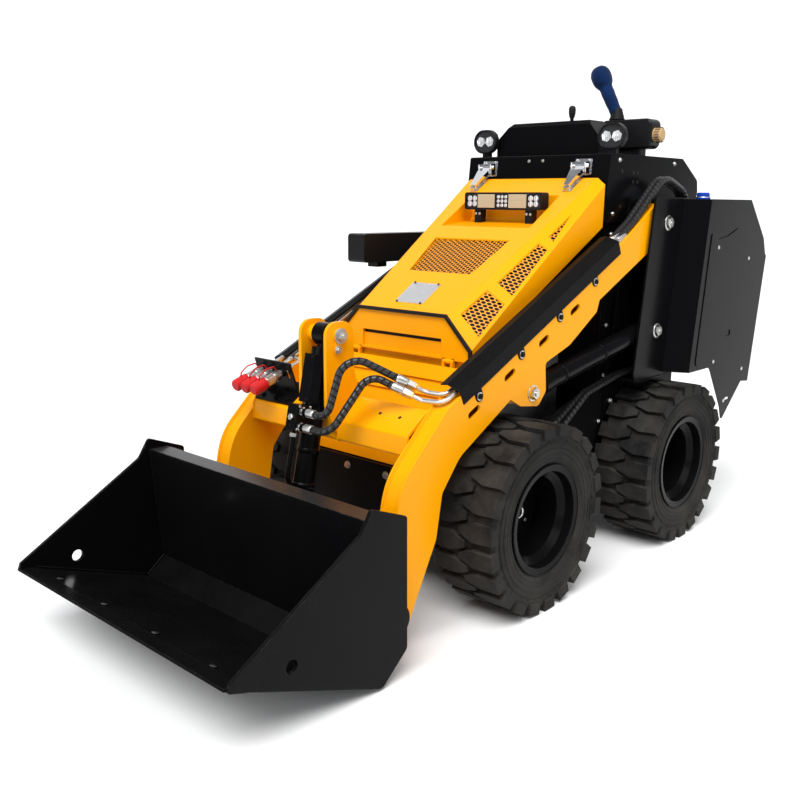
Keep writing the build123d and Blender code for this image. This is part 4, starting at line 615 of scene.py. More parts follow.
class Shape:
    """Gathers simple solids in one mesh."""

    def __init__(self):
        self.mesh = bmesh.new()
        self.uv = self.mesh.loops.layers.uv.new("UVMap")

    def rings(self, rings, smooth=True):
        """Skin over rings of points, each a list of the same length; returns its faces."""
        faces = []
        made = [[self.mesh.verts.new(point) for point in ring] for ring in rings]
        for low, high in zip(made, made[1:]):
            for index in range(len(low)):
                after = (index + 1) % len(low)
                face = self.mesh.faces.new((low[index], low[after], high[after], high[index]))
                face.smooth = smooth
                faces.append(face)
        self.mesh.faces.new(list(reversed(made[0])))
        self.mesh.faces.new(made[-1])
        return faces

    def lathe(self, base, direction, profile, sides=32, smooth=True, turn=0.0):
        """Solid of revolution: profile rows are radius and distance along direction."""
        place = Matrix.Translation(Vector(base)) @ facing(direction)
        rings = []
        for radius, along in profile:
            ring = []
            for angle in turns(sides):
                x = radius * math.cos(turn + angle)
                y = radius * math.sin(turn + angle)
                ring.append(place @ Vector((x, y, along)))
            rings.append(ring)
        self.rings(rings, smooth)

    def post(self, base, direction, radius, length, cut, sides, turn=0.0):
        """Flat-sided post with a chamfer at its far end."""
        rows = [(radius, 0), (radius, length - cut), (radius - cut, length)]
        self.lathe(base, direction, rows, sides, False, turn)

    def cylinder(self, base, direction, radius, length, sides=32):
        self.post(base, direction, radius, length, min(radius, length) * CHAMFER_SHARE, sides)

    def hexagon(self, base, direction, radius, length, turn=0.0):
        self.post(base, direction, radius, length, radius * CHAMFER_SHARE, 6, turn)

    def bolt(self, base, direction, radius):
        """Washer and hex head."""
        along = Vector(direction).normalized()
        base = Vector(base)
        self.cylinder(base, along, radius * 1.35, radius * 0.22, 28)
        self.hexagon(base + along * radius * 0.22, along, radius, radius * 0.75)

    def socket_bolt(self, base, direction, radius):
        """Round head with a socket sunk in it."""
        rows = [(radius, 0), (radius, radius * 0.85), (radius * 0.9, radius)]
        rows += [(radius * 0.56, radius), (radius * 0.5, radius * 0.45), (0.0002, radius * 0.4)]
        self.lathe(base, direction, rows, 24, False)

    def button(self, base, direction, radius, height):
        """Low domed head."""
        rows = [(radius * math.cos(a), height * math.sin(a)) for a in (0, 0.35, 0.7, 1.05, 1.4)]
        self.lathe(base, direction, rows, 24)

    def band(self, base, direction, radius, proud, width, sides=48):
        """Raised ring round a tube, with sloping edges."""
        slope = 0.0006
        rows = [(radius, 0), (radius + proud, slope), (radius + proud, width - slope)]
        self.lathe(base, direction, rows + [(radius, width)], sides)

    def block(self, centre, size, angle=0.0, axis="Y"):
        """Box, turned by this angle about one axis."""
        place = Matrix.Translation(Vector(centre)) @ Matrix.Rotation(angle, 4, axis)
        x, y, z = (part / 2 for part in size)
        plan = [(x, y), (-x, y), (-x, -y), (x, -y)]
        rings = [[place @ Vector((px, py, level)) for px, py in plan] for level in (-z, z)]
        self.rings(rings, smooth=False)

    def tube(self, path, radius, sides=16, ripple=0.0, ripple_pitch=1.0):
        """Round tube along a path, with a UV map in metres along it and optional ripples."""
        path = [Vector(point) for point in path]
        lengths = [0.0]
        for before, after in zip(path, path[1:]):
            lengths.append(lengths[-1] + (after - before).length)
        ends = [path[0]] + path + [path[-1]]
        tangents = [(ahead - behind).normalized() for behind, ahead in zip(ends, ends[2:])]
        side = tangents[0].orthogonal().normalized()
        rings = []
        for index, (centre, tangent, length) in enumerate(zip(path, tangents, lengths)):
            if index:
                side = (side - tangent * side.dot(tangent)).normalized()
            other = tangent.cross(side)
            size = radius * (1 + ripple * math.sin(2 * math.pi * length / ripple_pitch))
            rings.append(
                [centre + (side * math.cos(a) + other * math.sin(a)) * size for a in turns(sides)]
            )
        for number, face in enumerate(self.rings(rings)):
            row, column = divmod(number, sides)
            for loop, (right, up) in zip(face.loops, ((0, 0), (1, 0), (1, 1), (0, 1))):
                loop[self.uv].uv = ((column + right) / sides, lengths[row + up])

    def bead(self, points, radius, radii=()):
        """Weld bead: a rippled tube, sampled finely along its route."""
        route = filleted(points, radii) if radii else points
        fine = sampled(route, BEAD_STEP, int)
        self.tube(fine, radius, 7, BEAD_RIPPLE, BEAD_PITCH)

    def sheet(self, corners, unit_x, unit_y):
        """Flat face with a UV map in metres along its own two directions."""
        face = self.mesh.faces.new([self.mesh.verts.new(corner) for corner in corners])
        for loop in face.loops:
            loop[self.uv].uv = (loop.vert.co.dot(unit_x), loop.vert.co.dot(unit_y))

    def finish(self, name, material, body=None):
        """Makes the piece, which rides on this body."""
        bmesh.ops.recalc_face_normals(self.mesh, faces=self.mesh.faces)
        data = bpy.data.meshes.new(name)
        self.mesh.to_mesh(data)
        self.mesh.free()
        data.materials.append(material)
        piece = bpy.data.objects.new(name, data)
        bpy.context.scene.collection.objects.link(piece)
        if body:
            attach(piece, body)
        print(name, len(data.polygons), "faces")
        return piece


# %% [markdown]
# ## Hoses
#
# Three sets of hoses follow the routes of the CAD. The hoses over the arm's pivot run
# between the chassis and the arms, and the tilt hoses between the arms and the cylinder;
# both are built in place and ride on no body. The hoses at the side of the frame ride on the
# chassis.

# %% Hoses over the pivot
HOSE_START_X = -0.330 - 0.0348 * ARM_DIR.x
HOSE_LIFT = 0.006
BODY_SIDE_Y = 0.299
LEFT_RUNS = (0.3785, 0.3545)
RIGHT_RUNS = (-0.383, -0.367, -0.351)
PIVOT_ENDS_Z = (0.760, 0.800, 0.840)


def arm_edge_point(x, y, lift):
    """Point this far above the arm's long top edge at this x."""
    z = ARM_EDGE_FRONT.z + (ARM_EDGE_FRONT.x - x) * -ARM_DIR.z / ARM_DIR.x
    return Vector((x, y, z + lift / ARM_DIR.x))


pivot = Shape()
for runs, radius in ((LEFT_RUNS, 0.0112), (RIGHT_RUNS, 0.0076)):
    for run_y, end_z in zip(runs, PIVOT_ENDS_Z):
        points = [
            arm_edge_point(HOSE_START_X, run_y, HOSE_LIFT),
            (-0.487, run_y, 1.162),
            (-0.690, run_y, 1.322),
            (-0.872, run_y, 1.262),
            (-0.885, run_y, end_z),
            (-0.885, math.copysign(BODY_SIDE_Y, run_y), end_z),
        ]
        turn_r = min(0.02, abs(run_y) - BODY_SIDE_Y - 0.002)
        pivot.tube(sampled(filleted(points, [0.150, 0.100, 0.090, turn_r]), 0.012), radius)
pivot_hoses = pivot.finish("pivot_hose_wraps", WRAP)
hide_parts("pivot_hoses")
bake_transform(pivot_hoses)

# %% Tilt hoses
UPPER_PORT = Vector((0.712, 0.045, 0.632))
LOWER_PORT = Vector((0.722, 0.045, 0.589))
UPPER_TUBE_END = Vector((0.5204, 0.2546, 0.7223))
LOWER_TUBE_END = Vector((0.5453, 0.2615, 0.7033))
TILT_HOSES = (
    ((UPPER_PORT, (0.712, 0.126, 0.632), (0.652, 0.136, 0.812), UPPER_TUBE_END), (0.036, 0.058)),
    ((LOWER_PORT, (0.722, 0.146, 0.589), (0.600, 0.180, 0.750), LOWER_TUBE_END), (0.050, 0.048)),
)
tilt = Shape()
for points, radii in TILT_HOSES:
    tilt.tube(sampled(filleted(points, radii), 0.008), 0.011, 18)
tilt_hoses = tilt.finish("tilt_hose_wraps", WRAP)
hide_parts("tilt_hoses")
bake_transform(tilt_hoses)

# %% Side hoses
frame_sides = Shape()
for _, side in SIDES:
    for run_y, start_z in ((0.326, 0.500), (0.345, 0.478)):
        points = [
            at(-0.130, 0.300, start_z, side),
            at(-0.130, run_y, start_z, side),
            at(-0.300, run_y, 0.586, side),
            at(-0.500, run_y, 0.622, side),
            at(-0.683, run_y, 0.630, side),
        ]
        frame_sides.tube(sampled(filleted(points, [0.015, 0.060, 0.200]), 0.02), 0.009)
side_hoses = frame_sides.finish("side_hose_wraps", WRAP, "chassis")
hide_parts("side_hoses")

# %% [markdown]
# ## Hood, vents and lamps
#
# The vents are perforated sheets just under the hood's faces. The sheets replace the coarse
# sheets of the CAD, and a near black sheet behind them is painted shade for the engine bay.

# %% Perforated vents
TOP_VENT = ((-0.076, -0.160), (-0.076, 0.160), (0.093, 0.131), (0.093, -0.131))
SIDE_VENTS = (
    ((0.126, 0.227), (0.108, 0.284), (0.232, 0.281), (0.238, 0.213)),
    ((-0.100, 0.258), (-0.110, 0.287), (0.075, 0.286), (0.089, 0.236)),
    ((-0.252, 0.281), (-0.136, 0.268), (-0.139, 0.287)),
)
CORNER_TOP_EDGE = (
    Vector((HOOD_FRONT_X, 0.189, HOOD_FRONT_Z)),
    Vector((HOOD_REAR_X, 0.277, HOOD_REAR_Z)),
)
CORNER_LOW_EDGE = (Vector((HOOD_FRONT_X, 0.288, 0.788)), Vector((HOOD_REAR_X, 0.307, 1.287)))


def hood_corner_point(x, y, sink, side):
    """Point on the hood's sloping corner face at this x and |y|, sunk below it."""
    share = (HOOD_FRONT_X - x) / (HOOD_FRONT_X - HOOD_REAR_X)
    inner = CORNER_TOP_EDGE[0].lerp(CORNER_TOP_EDGE[1], share)
    outer = CORNER_LOW_EDGE[0].lerp(CORNER_LOW_EDGE[1], share)
    point = inner.lerp(outer, (y - inner.y) / (outer.y - inner.y))
    point += Vector((0, outer.z - inner.z, inner.y - outer.y)).normalized() * sink
    return at(x, point.y, point.z, side)


vents = Shape()
# The deeper sheet is painted shade: a near black sheet that darkens the engine bay seen through the
# holes.
shade_sheet = Shape()
for depth, shape in ((0.0048, vents), (0.022, shade_sheet)):
    grown = [(x + math.copysign(0.006, x - 0.01), y * 1.04) for x, y in TOP_VENT]
    shape.sheet([hood_point(x, y, -depth) for x, y in grown], HOOD_DIR, ALONG_Y)
    for vent in SIDE_VENTS:
        mid_x, mid_y = (sum(values) / len(vent) for values in zip(*vent))
        grown = [(mid_x + (x - mid_x) * 1.08, mid_y + (y - mid_y) * 1.08) for x, y in vent]
        for _, side in SIDES:
            corners = [hood_corner_point(x, y, depth, side) for x, y in grown]
            shape.sheet(corners, HOOD_DIR, at(0, 0.7, -0.7 * side))
vent_sheets = vents.finish("vent_sheets", MESH, "hood")
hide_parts("hood_mesh")
shade_sheet.finish("vent_painted_shade", PAINTED_SHADE, "hood")

# %% Backing of the nose, and painted shade in its slit
nose = Shape()
nose.block((0.2585, 0.0, 0.7385), (0.003, 0.560, 0.050))
nose.finish("nose_backing", YELLOW, "chassis")
# Near black sheet inside the nose slit: painted shade.
slit = Shape()
slit.block((0.2590, 0.0, 0.8085), (0.002, 0.348, 0.022))
slit.finish("slit_painted_shade", PAINTED_SHADE, "hood")

# %% [markdown]
# The light bar has two square lamps, a middle cluster of nine, and pale ribbed strips.

# %% Light bar
BAR_FACE_X = -0.238
BAR_Z = 1.230
SQUARE_LAMP_Y = 0.132
STRIP_Y = 0.0675
LENS_DEPTH = -0.0019
BEZEL = 0.003


def on_bar(depth, y, z=0.0):
    """Point in front of the light bar's face, to the left of its middle and above it."""
    return (BAR_FACE_X + depth, y, BAR_Z + z)


strips = Shape()
for strip_y in (-STRIP_Y, STRIP_Y):
    strips.block(on_bar(0.0002, strip_y), (0.0010, 0.074, 0.046))
    for rib in range(9):
        strips.block(on_bar(0.0014, strip_y, (rib - 4) * 0.0052), (0.0024, 0.073, 0.0026))
strips.finish("light_bar_strips", BEIGE, "hood")
leds = Shape()
for column in (-1, 0, 1):
    for row in (-1, 0, 1):
        leds.button(on_bar(LENS_DEPTH, column * 0.016, row * 0.0145), ALONG_X, 0.0064, 0.0018)
for lamp_y in (-SQUARE_LAMP_Y, SQUARE_LAMP_Y):
    for column in (-1, 1):
        for row in (-1, 1):
            place = on_bar(LENS_DEPTH, lamp_y + column * 0.011, row * 0.0095)
            leds.button(place, ALONG_X, 0.0100, 0.0018)
leds.finish("light_bar_elements", LENS, "hood")
bezels = Shape()
for lamp_y, width, height in (
    (-SQUARE_LAMP_Y, 0.050, 0.044),
    (SQUARE_LAMP_Y, 0.050, 0.044),
    (0.0, 0.056, 0.050),
):
    for up in (-1, 1):
        edge_z = up * (height + BEZEL) / 2
        edge_y = lamp_y + up * (width + BEZEL) / 2
        bezels.block(on_bar(-0.0012, lamp_y, edge_z), (0.0024, width + 2 * BEZEL, BEZEL))
        bezels.block(on_bar(-0.0012, edge_y), (0.0024, BEZEL, height))
bezels.finish("light_bar_bezels", DARK_STEEL, "hood")
bar_bolts = Shape()
for foot_y in (-0.110, 0.110):
    for shift in (-0.008, 0.008):
        bar_bolts.bolt((-0.2455, foot_y + shift, 1.186), ALONG_X, 0.0035)
bar_bolts.finish("light_bar_bolts", ZINC, "hood")

# %% Work lamps
LAMP_FACE_X = -0.488
LAMP_Y = 0.274
LAMP_Z = 1.452
REFLECTOR = [(0.0195, 0), (0.0195, 0.0026), (0.0180, 0.0026)]
REFLECTOR += [(0.0060, 0.0004), (0.0050, 0.0022), (0.0002, 0.0026)]
lamp_parts = Shape()
lamp_rims = Shape()
for _, side in SIDES:
    face = at(LAMP_FACE_X, LAMP_Y, LAMP_Z, side)
    for half in (-1, 1):
        place = face + Vector((-0.0022, half * 0.0205, 0))
        lamp_parts.lathe(place, ALONG_X, REFLECTOR, 6, False, 0.26 * half)
    rim = []
    for angle in turns(64, closed=True):
        y = math.copysign(0.010, math.cos(angle)) + 0.0400 * math.cos(angle)
        rim.append(face + Vector((0, y, 0.0400 * math.sin(angle))))
    lamp_rims.tube(rim, 0.0035, 8)
    for fin in range(5):
        place = face + Vector((-0.024, 0, fin * 0.013 - 0.026))
        lamp_rims.block(place, (0.010, 0.080, 0.0028))
lamp_parts.finish("work_lamp_elements", LENS, "chassis")
lamp_rims.finish("work_lamp_fins", PLASTIC, "chassis")

# %% [markdown]
# Latches, screws of the bare badge plate, and bolts round the hood and console.

# %% Latches of the hood
LATCH_X = -0.362
LATCH_Y = 0.203
LATCH_TOP = Vector((-0.412, 0.0, 1.350))
LATCH_THICK = 0.0045
LEVER_SECTIONS = ((0.0, 0.022, 1.0), (0.25, 0.024, 1.6), (0.6, 0.017, 1.3), (1.0, 0.010, 0.8))
hood_metal = Shape()
catches = Shape()
for _, side in SIDES:
    latch_y = side * LATCH_Y
    for reach, across in ((0.026, 0.010), (0.026, -0.010), (-0.026, 0.010), (-0.026, -0.010)):
        base = hood_point(LATCH_X + reach * HOOD_DIR.x, latch_y + across, 0.003)
        hood_metal.socket_bolt(base, HOOD_UP, 0.0032)
    hinge = hood_point(LATCH_X + 0.022, latch_y - 0.012, 0.012)
    hood_metal.cylinder(hinge, ALONG_Y, 0.0042, 0.024, 16)
    top = LATCH_TOP + Vector((0, latch_y, 0))
    foot = hood_point(LATCH_X + 0.022, latch_y, 0.020)
    inward = Vector((foot.z - top.z, 0, top.x - foot.x)).normalized() * -LATCH_THICK
    sections = []
    for share, half_w, thick in LEVER_SECTIONS:
        place = top.lerp(foot, share)
        wide = Vector((0, half_w, 0))
        lift = inward * thick
        corners = (wide + lift, lift - wide, -wide - lift, wide - lift)
        sections.append([place + corner for corner in corners])
    hood_metal.rings(sections, smooth=False)
    for across in (-0.027, 0.027):
        hood_metal.block((-0.413, latch_y + across, 1.345), (0.026, 0.005, 0.040), 0.12)
        hood_metal.bolt((-0.410, latch_y + across * 1.10, 1.352), (0, across, 0), 0.0068)
    hood_metal.cylinder(top - Vector((0, 0.030, 0)), ALONG_Y, 0.0065, 0.060, 24)
    catches.block((-0.4345, latch_y, 1.348), (0.0045, 0.066, 0.056), -0.117)
    for across in (-0.024, 0.024):
        catches.socket_bolt((-0.4335, latch_y + across, 1.372), ALONG_X, 0.0045)
hood_metal.finish("latch_details", CHROME, "hood")
catches.finish("latch_catches", CHROME, "chassis")

# %% Screws and bolts of badge plate and console
BADGE_X = 0.195
CONSOLE_SIDE_Y = 0.305
screws = Shape()
for reach in (-0.044, 0.044):
    for across in (-0.050, 0.050):
        screws.socket_bolt(hood_point(BADGE_X + reach, across, 0.0018), HOOD_UP, 0.0036)
screws.finish("badge_plate_screws", DARK_STEEL, "hood")
panel_bolts = Shape()
for bolt_y in (-0.03, 0.03):
    panel_bolts.bolt((-0.4405, bolt_y, 1.372), (0.99, 0, 0.12), 0.006)
for _, side in SIDES:
    out = ALONG_Y * side
    for x, z in ((-0.50, 1.372), (-0.90, 1.372), (-0.47, 1.19), (-1.02, 1.19)):
        panel_bolts.bolt(at(x, CONSOLE_SIDE_Y, z, side), out, 0.006)
    for z in (0.62, 0.80, 0.98, 1.12):
        panel_bolts.bolt(at(-0.480, 0.298, z, side), out, 0.006)
panel_bolts.finish("console_bolts", ZINC, "chassis")
CONSOLE_HOLES = ((-0.60, 1.330), (-0.63, 1.330), (-0.60, 1.300), (-0.63, 1.300))
CONSOLE_HOLES += ((-0.52, 1.215), (-0.52, 1.335))
# Near black discs set in the holes: painted shade inside them.
holes = Shape()
for _, side in SIDES:
    for x, z in CONSOLE_HOLES:
        holes.hexagon(at(x, CONSOLE_SIDE_Y - 0.0002, z, side), ALONG_Y * side, 0.0075, 0.0006)
for hole_y in (0.185, 0.262):
    holes.cylinder((0.559, hole_y, 0.6293), (0.56, 0, 0.83), 0.0055, 0.0006, 20)
holes.finish("console_hole_painted_shade", PAINTED_SHADE, "chassis")

# %% [markdown]
# ## Loader arms
#
# Weld beads run where the closing strip meets the plates, round the cross tube's ends and
# round the clevis. Each bead is a rippled tube along its joint.

# %% Weld beads on the arms
ARM_FRONT_TOP = ((0.462, 0.6909), (0.510, 0.668), (0.697, 0.492), (0.770, 0.122))
ARM_FRONT_BACK = ((0.221, 0.650), (0.455, 0.520), (0.530, 0.430), (0.553, 0.300), (0.640, 0.130))
ARM_UNDER = ((-0.560, 1.0552), (-0.257, 0.914), (-0.242, 0.875), (-0.088, 0.782), (0.036, 0.743))
CROSS_FRONT = ((0.611, 0.540), (0.6085, 0.592), (0.602, 0.601), (0.520, 0.6565))
CROSS_REAR = ((0.511, 0.650), (0.511, 0.566), (0.530, 0.540), (0.604, 0.5345))
CLEVIS_SIDE_Y = 0.061
ARM_BEAD_IN = 0.0095


def inset_route(rows, distance):
    """Route moved square to itself by this distance, with its corners mitred."""
    route = [at(x, 0.0, z) for x, z in rows]
    moved = []
    for index, point in enumerate(route):
        normals = []
        for start, end in ((index - 1, index), (index, index + 1)):
            if start >= 0 and end < len(route):
                run = (route[end] - route[start]).normalized()
                normals.append(Vector((-run.z, 0.0, run.x)))
        middle = sum(normals, Vector()).normalized()
        moved.append(point + middle * (distance / middle.dot(normals[0])))
    return moved


welds = Shape()
for rows, radii, inset in (
    (ARM_FRONT_TOP, [0.14, 0.19], -0.0045),
    (ARM_FRONT_BACK, [0.10, 0.04, 0.06], 0.0045),
    (ARM_UNDER, [0.012, 0.012, 0.06], 0.0045),
):
    for _, side in SIDES:
        for plate_y in (ARM_INNER_Y + ARM_BEAD_IN, ARM_OUTER_Y - ARM_BEAD_IN):
            route = [point + at(0, plate_y, 0, side) for point in inset_route(rows, inset)]
            welds.bead(route, 0.0026, radii)
for _, side in SIDES:
    for weld_y in (ARM_INNER_Y - 0.001, CLEVIS_SIDE_Y):
        ring = [at(x, weld_y, z, side) for x, z in CROSS_FRONT + CROSS_REAR]
        welds.bead(ring + [ring[0]], 0.003, [0.004] * (len(ring) - 1))
welds.finish("arm_weld_beads", YELLOW, "loader_arms")

# %% Pins and bolts of the arms
GUARD_BOLTS = ((0.375, 0.684), (0.175, 0.782), (-0.024, 0.877), (-0.222, 0.976))
CLEVIS_PIN_Y = 0.066
arm_metal = Shape()
for _, side in SIDES:
    out = ALONG_Y * side
    for x, z in GUARD_BOLTS:
        arm_metal.cylinder(at(x, 0.402, z, side), out, 0.0125, 0.0015, 28)
    seat = at(LIFT_ARM_PIN.x, ARM_OUTER_Y - 0.001, LIFT_ARM_PIN.z, side)
    arm_metal.cylinder(seat, out, 0.0260, 0.0035, 36)
    arm_metal.hexagon(seat + out * 0.0035, out, 0.0195, 0.0130, 0.4)
    arm_metal.cylinder(seat + out * 0.0165, out, 0.0085, 0.0040, 24)
for _, side in SIDES:
    out = ALONG_Y * side
    pin = at(TILT_TOP.x, CLEVIS_PIN_Y, TILT_TOP.z, side)
    arm_metal.cylinder(pin, out, 0.0235, 0.003, 36)
    arm_metal.hexagon(pin + out * 0.003, out, 0.0165, 0.012, 0.3)
    arm_metal.cylinder(pin + out * 0.015, out, 0.0085, 0.005, 24)
    arm_metal.bolt(at(0.612, CLEVIS_PIN_Y, 0.806, side), out, 0.0095)
arm_metal.finish("arm_pin_heads", ZINC, "loader_arms")

# %% [markdown]
# The couplers have knurled collars, and each red cap hangs on a thin loop from its coupler.

# %% Couplers and tethers
COUPLER_BACK = Vector((0.545, 0.0, 0.711))
COUPLER_DIP = math.radians(19.9)
COUPLER_DIR = Vector((math.cos(COUPLER_DIP), 0.0, -math.sin(COUPLER_DIP)))
COUPLER_UP = Vector((-COUPLER_DIR.z, 0.0, COUPLER_DIR.x))
COUPLER_YS = (-0.225, -0.270, -0.315)
COLLAR_MIDDLE = 0.090
TETHER = ((0.128, 0.0, 0.018), (0.124, 0.002, 0.030), (0.098, 0.006, 0.041))
TETHER += ((0.066, 0.008, 0.036), (0.058, 0.004, 0.018))


def coupler_point(y, reach, lift=0.0):
    """Point this far along a coupler's axis and this far above it."""
    return COUPLER_BACK + Vector((0, y, 0)) + COUPLER_DIR * reach + COUPLER_UP * lift


knurls = Shape()
tethers = Shape()
for coupler_y in COUPLER_YS:
    collar = coupler_point(coupler_y, COLLAR_MIDDLE)
    for angle in turns(36):
        offset = Matrix.Rotation(angle, 4, COUPLER_DIR) @ (COUPLER_UP * 0.0157)
        size = (0.0012, 0.0012, 0.026)
        knurls.block(collar + offset, size, math.pi / 2 + COUPLER_DIP)
    for reach in (COLLAR_MIDDLE - 0.016, COLLAR_MIDDLE + 0.016):
        rows = [(0.0150, -0.002), (0.0168, 0), (0.0150, 0.002)]
        knurls.lathe(coupler_point(coupler_y, reach), COUPLER_DIR, rows, 36)
    knurls.hexagon(coupler_point(coupler_y, 0.0), COUPLER_DIR, 0.0155, 0.016, 0.3)
    loop = [coupler_point(coupler_y + across, reach, lift) for reach, across, lift in TETHER]
    tethers.tube(filleted(loop, [0.007, 0.014, 0.012]), 0.0022, 10)
    rows = [(0.0185, 0), (0.0205, 0.002), (0.0205, 0.008), (0.0185, 0.010)]
    tethers.lathe(coupler_point(coupler_y, 0.118), COUPLER_DIR, rows)
    for groove in range(4):
        rows = [(0.0188, 0), (0.0196, 0.001), (0.0196, 0.0022), (0.0188, 0.0032)]
        tethers.lathe(coupler_point(coupler_y, 0.134 + groove * 0.0055), COUPLER_DIR, rows)
knurls.finish("coupler_collars", STEEL, "loader_arms")
tethers.finish("cap_tethers", CAP_RED, "loader_arms")

# %% Fittings of hoses and tubes
FERRULE_START_X = -0.370
FERRULE = [(0.0128, 0.0), (0.0134, 0.003)]


def pivot_sleeve(radius):
    """Profile of a crimped sleeve: a collar and four grooved bands."""
    waist = radius * 0.93
    rows = [(radius * 0.9, 0.014), (radius, 0.016)]
    for low in (0.020, 0.029, 0.038, 0.047):
        rows += [(radius, low), (waist, low + 0.0015), (waist, low + 0.003), (radius, low + 0.0045)]
    return rows + [(radius, 0.060), (radius * 0.88, 0.0625)]


fittings = Shape()
ports = Shape()
brass = Shape()
for runs, radius in ((LEFT_RUNS, 0.01386), (RIGHT_RUNS, 0.010296)):
    for run_y in runs:
        start = arm_edge_point(FERRULE_START_X, run_y, HOSE_LIFT)
        fittings.hexagon(start, -ARM_DIR, radius * 1.12, 0.014, 0.5)
        fittings.lathe(start, -ARM_DIR, pivot_sleeve(radius), 28)
for (port, _, before_end, tube_end), _ in TILT_HOSES:
    out = (Vector(before_end) - tube_end).normalized()
    rows = FERRULE + [(0.0134, 0.030), (0.0122, 0.034), (0.0112, 0.036)]
    fittings.lathe(tube_end, out, rows, 28)
    ports.lathe(port, ALONG_Y, FERRULE + [(0.0134, 0.026), (0.0112, 0.030)], 28)
    brass.hexagon(tube_end - out * 0.030, out, 0.0132, 0.008)
fittings.finish("hose_ferrules", ZINC, "loader_arms")
ports.finish("tilt_port_ferrules", ZINC, "tilt_cylinder")
brass.finish("brass_nuts", BRASS, "loader_arms")

# %% [markdown]
# ## Cylinders and bucket
#
# The tilt cylinder carries elbows at its port block, clamping bands and a wiper ring, and
# the lift cylinders have the same bands and rings. The bucket gets weld beads, pin plates,
# bolts in its edge and a dark grey bar along its top lip, which is a painted highlight.

# %% Tilt cylinder details
TILT_DIR = (TILT_BOTTOM - TILT_TOP).normalized()
TILT_FRONT = Vector((-TILT_DIR.z, 0.0, TILT_DIR.x))


def tilt_point(along, front, y=0.0):
    """Point this far along the tilt cylinder, in front of it and to its left."""
    return TILT_TOP + TILT_DIR * along + TILT_FRONT * front + Vector((0, y, 0))


def wiper(shape, base, direction, radius, rod_radius):
    """Ring that closes a barrel's mouth round its rod."""
    rows = [(radius, 0), (radius, 0.0025), (0.0185, 0.0045), (rod_radius, 0.0048)]
    shape.lathe(base, direction, rows, 40)


tilt_metal = Shape()
for port in (UPPER_PORT, LOWER_PORT):
    tilt_metal.hexagon((port.x, 0.0205, port.z), ALONG_Y, 0.0145, 0.010, 0.4)
    elbow = [(0.0105, 0), (0.0105, 0.012), (0.012, 0.014)]
    tilt_metal.lathe((port.x, 0.030, port.z), ALONG_Y, elbow, 28)
for along in (0.2165, 0.2835):
    for front in (0.036, 0.076):
        tilt_metal.socket_bolt(tilt_point(along, front, 0.020), ALONG_Y, 0.0042)
tilt_metal.hexagon(tilt_point(0.250, 0.084), TILT_FRONT, 0.0100, 0.006)
tilt_metal.hexagon(tilt_point(0.296, 0.066), TILT_DIR, 0.0110, 0.012)
wiper(tilt_metal, tilt_point(0.516, 0.0), TILT_DIR, 0.0335, 0.0165)
tilt_metal.finish("tilt_cylinder_fittings", ZINC, "tilt_cylinder")
tilt_bands = Shape()
for along in (0.335, 0.440):
    tilt_bands.band(tilt_point(along, 0.0), TILT_DIR, 0.0315, 0.0023, 0.0166)
for along in (0.070, 0.196):
    for y in (-0.012, 0.012):
        tilt_bands.button(tilt_point(along, 0.0475, y), TILT_FRONT, 0.005, 0.0025)
tilt_bands.finish("tilt_cylinder_bands", BLACK, "tilt_cylinder")

# %% Lift cylinder rings
LIFT_Y = (ARM_INNER_Y + ARM_OUTER_Y) / 2
LIFT_ROD_SHOWN = 0.080
for side_name, side in SIDES:
    run = (LIFT_ARM_PIN - LIFT_BASE_PIN).normalized()
    gland = LIFT_ARM_PIN + at(0, LIFT_Y, 0, side) - run * LIFT_ROD_SHOWN
    rings = Shape()
    wiper(rings, gland - run * 0.001, run, 0.0355, 0.0166)
    for along in (0.12, 0.36):
        rings.band(gland - run * along, run, 0.0335, 0.0023, 0.0146)
    body = f"lift_cylinder_{side_name}"
    rings.finish(f"lift_cylinder_rings_{side_name}", BLACK, body)

# %% Bucket details
BUCKET_FLOOR_RUN = ((0.871, 0.104), (0.934, 0.0525), (1.290, 0.1835))
BUCKET_BACK_RUN = ((0.905, 0.455), (0.8725, 0.112))
BUCKET_WELD_Y = 0.4825
BUCKET_BAR = Vector((0.873, 0.0, 0.4616))
HITCH_EARS = (((0.8518, 0.118), (0.8608, 0.220)), (0.324, 0.410), 0.0056)
HITCH_CENTRE = (((0.8560, 0.168), (0.8692, 0.318)), (0.033,), 0.0068)
PIN_END_Y = 0.4168
bucket_beads = Shape()
for _, side in SIDES:
    for rows, radii in ((BUCKET_FLOOR_RUN, [0.004]), (BUCKET_BACK_RUN, [])):
        route = [at(x, BUCKET_WELD_Y, z + 0.002, side) for x, z in rows]
        bucket_beads.bead(route, 0.003, radii)
    for ends, plate_ys, half_gap in (HITCH_EARS, HITCH_CENTRE):
        for plate_y in plate_ys:
            for shift in (-half_gap, half_gap):
                seam = [at(x, plate_y + shift, z, side) for x, z in ends]
                bucket_beads.bead(seam, 0.003)
bucket_beads.finish("bucket_weld_beads", BUCKET_BLACK, "bucket")
# Grey bar on the bucket's top lip: a painted highlight.
bucket_bar = Shape()
bucket_bar.block(BUCKET_BAR, (0.0615, 0.962, 0.0014))
bucket_bar.finish("bucket_top_painted_highlight", TOP_LIP_HIGHLIGHT_PAINT, "bucket")
bucket_pins = Shape()
for _, side in SIDES:
    out = ALONG_Y * side
    face = [(0.0155, 0), (0.0155, 0.0015), (0.0145, 0.0026), (0.0002, 0.0027)]
    bucket_pins.lathe(at(BUCKET_PIN.x, PIN_END_Y, BUCKET_PIN.z, side), out, face, 36)
    bucket_pins.block(at(0.757, PIN_END_Y, 0.136, side), (0.060, 0.0034, 0.022), -0.6)
    bucket_pins.bolt(at(0.775, PIN_END_Y + 0.0016, 0.148, side), out, 0.0075)
    bucket_pins.button(at(TILT_BOTTOM.x, 0.0385, TILT_BOTTOM.z, side), out, 0.0138, 0.002)
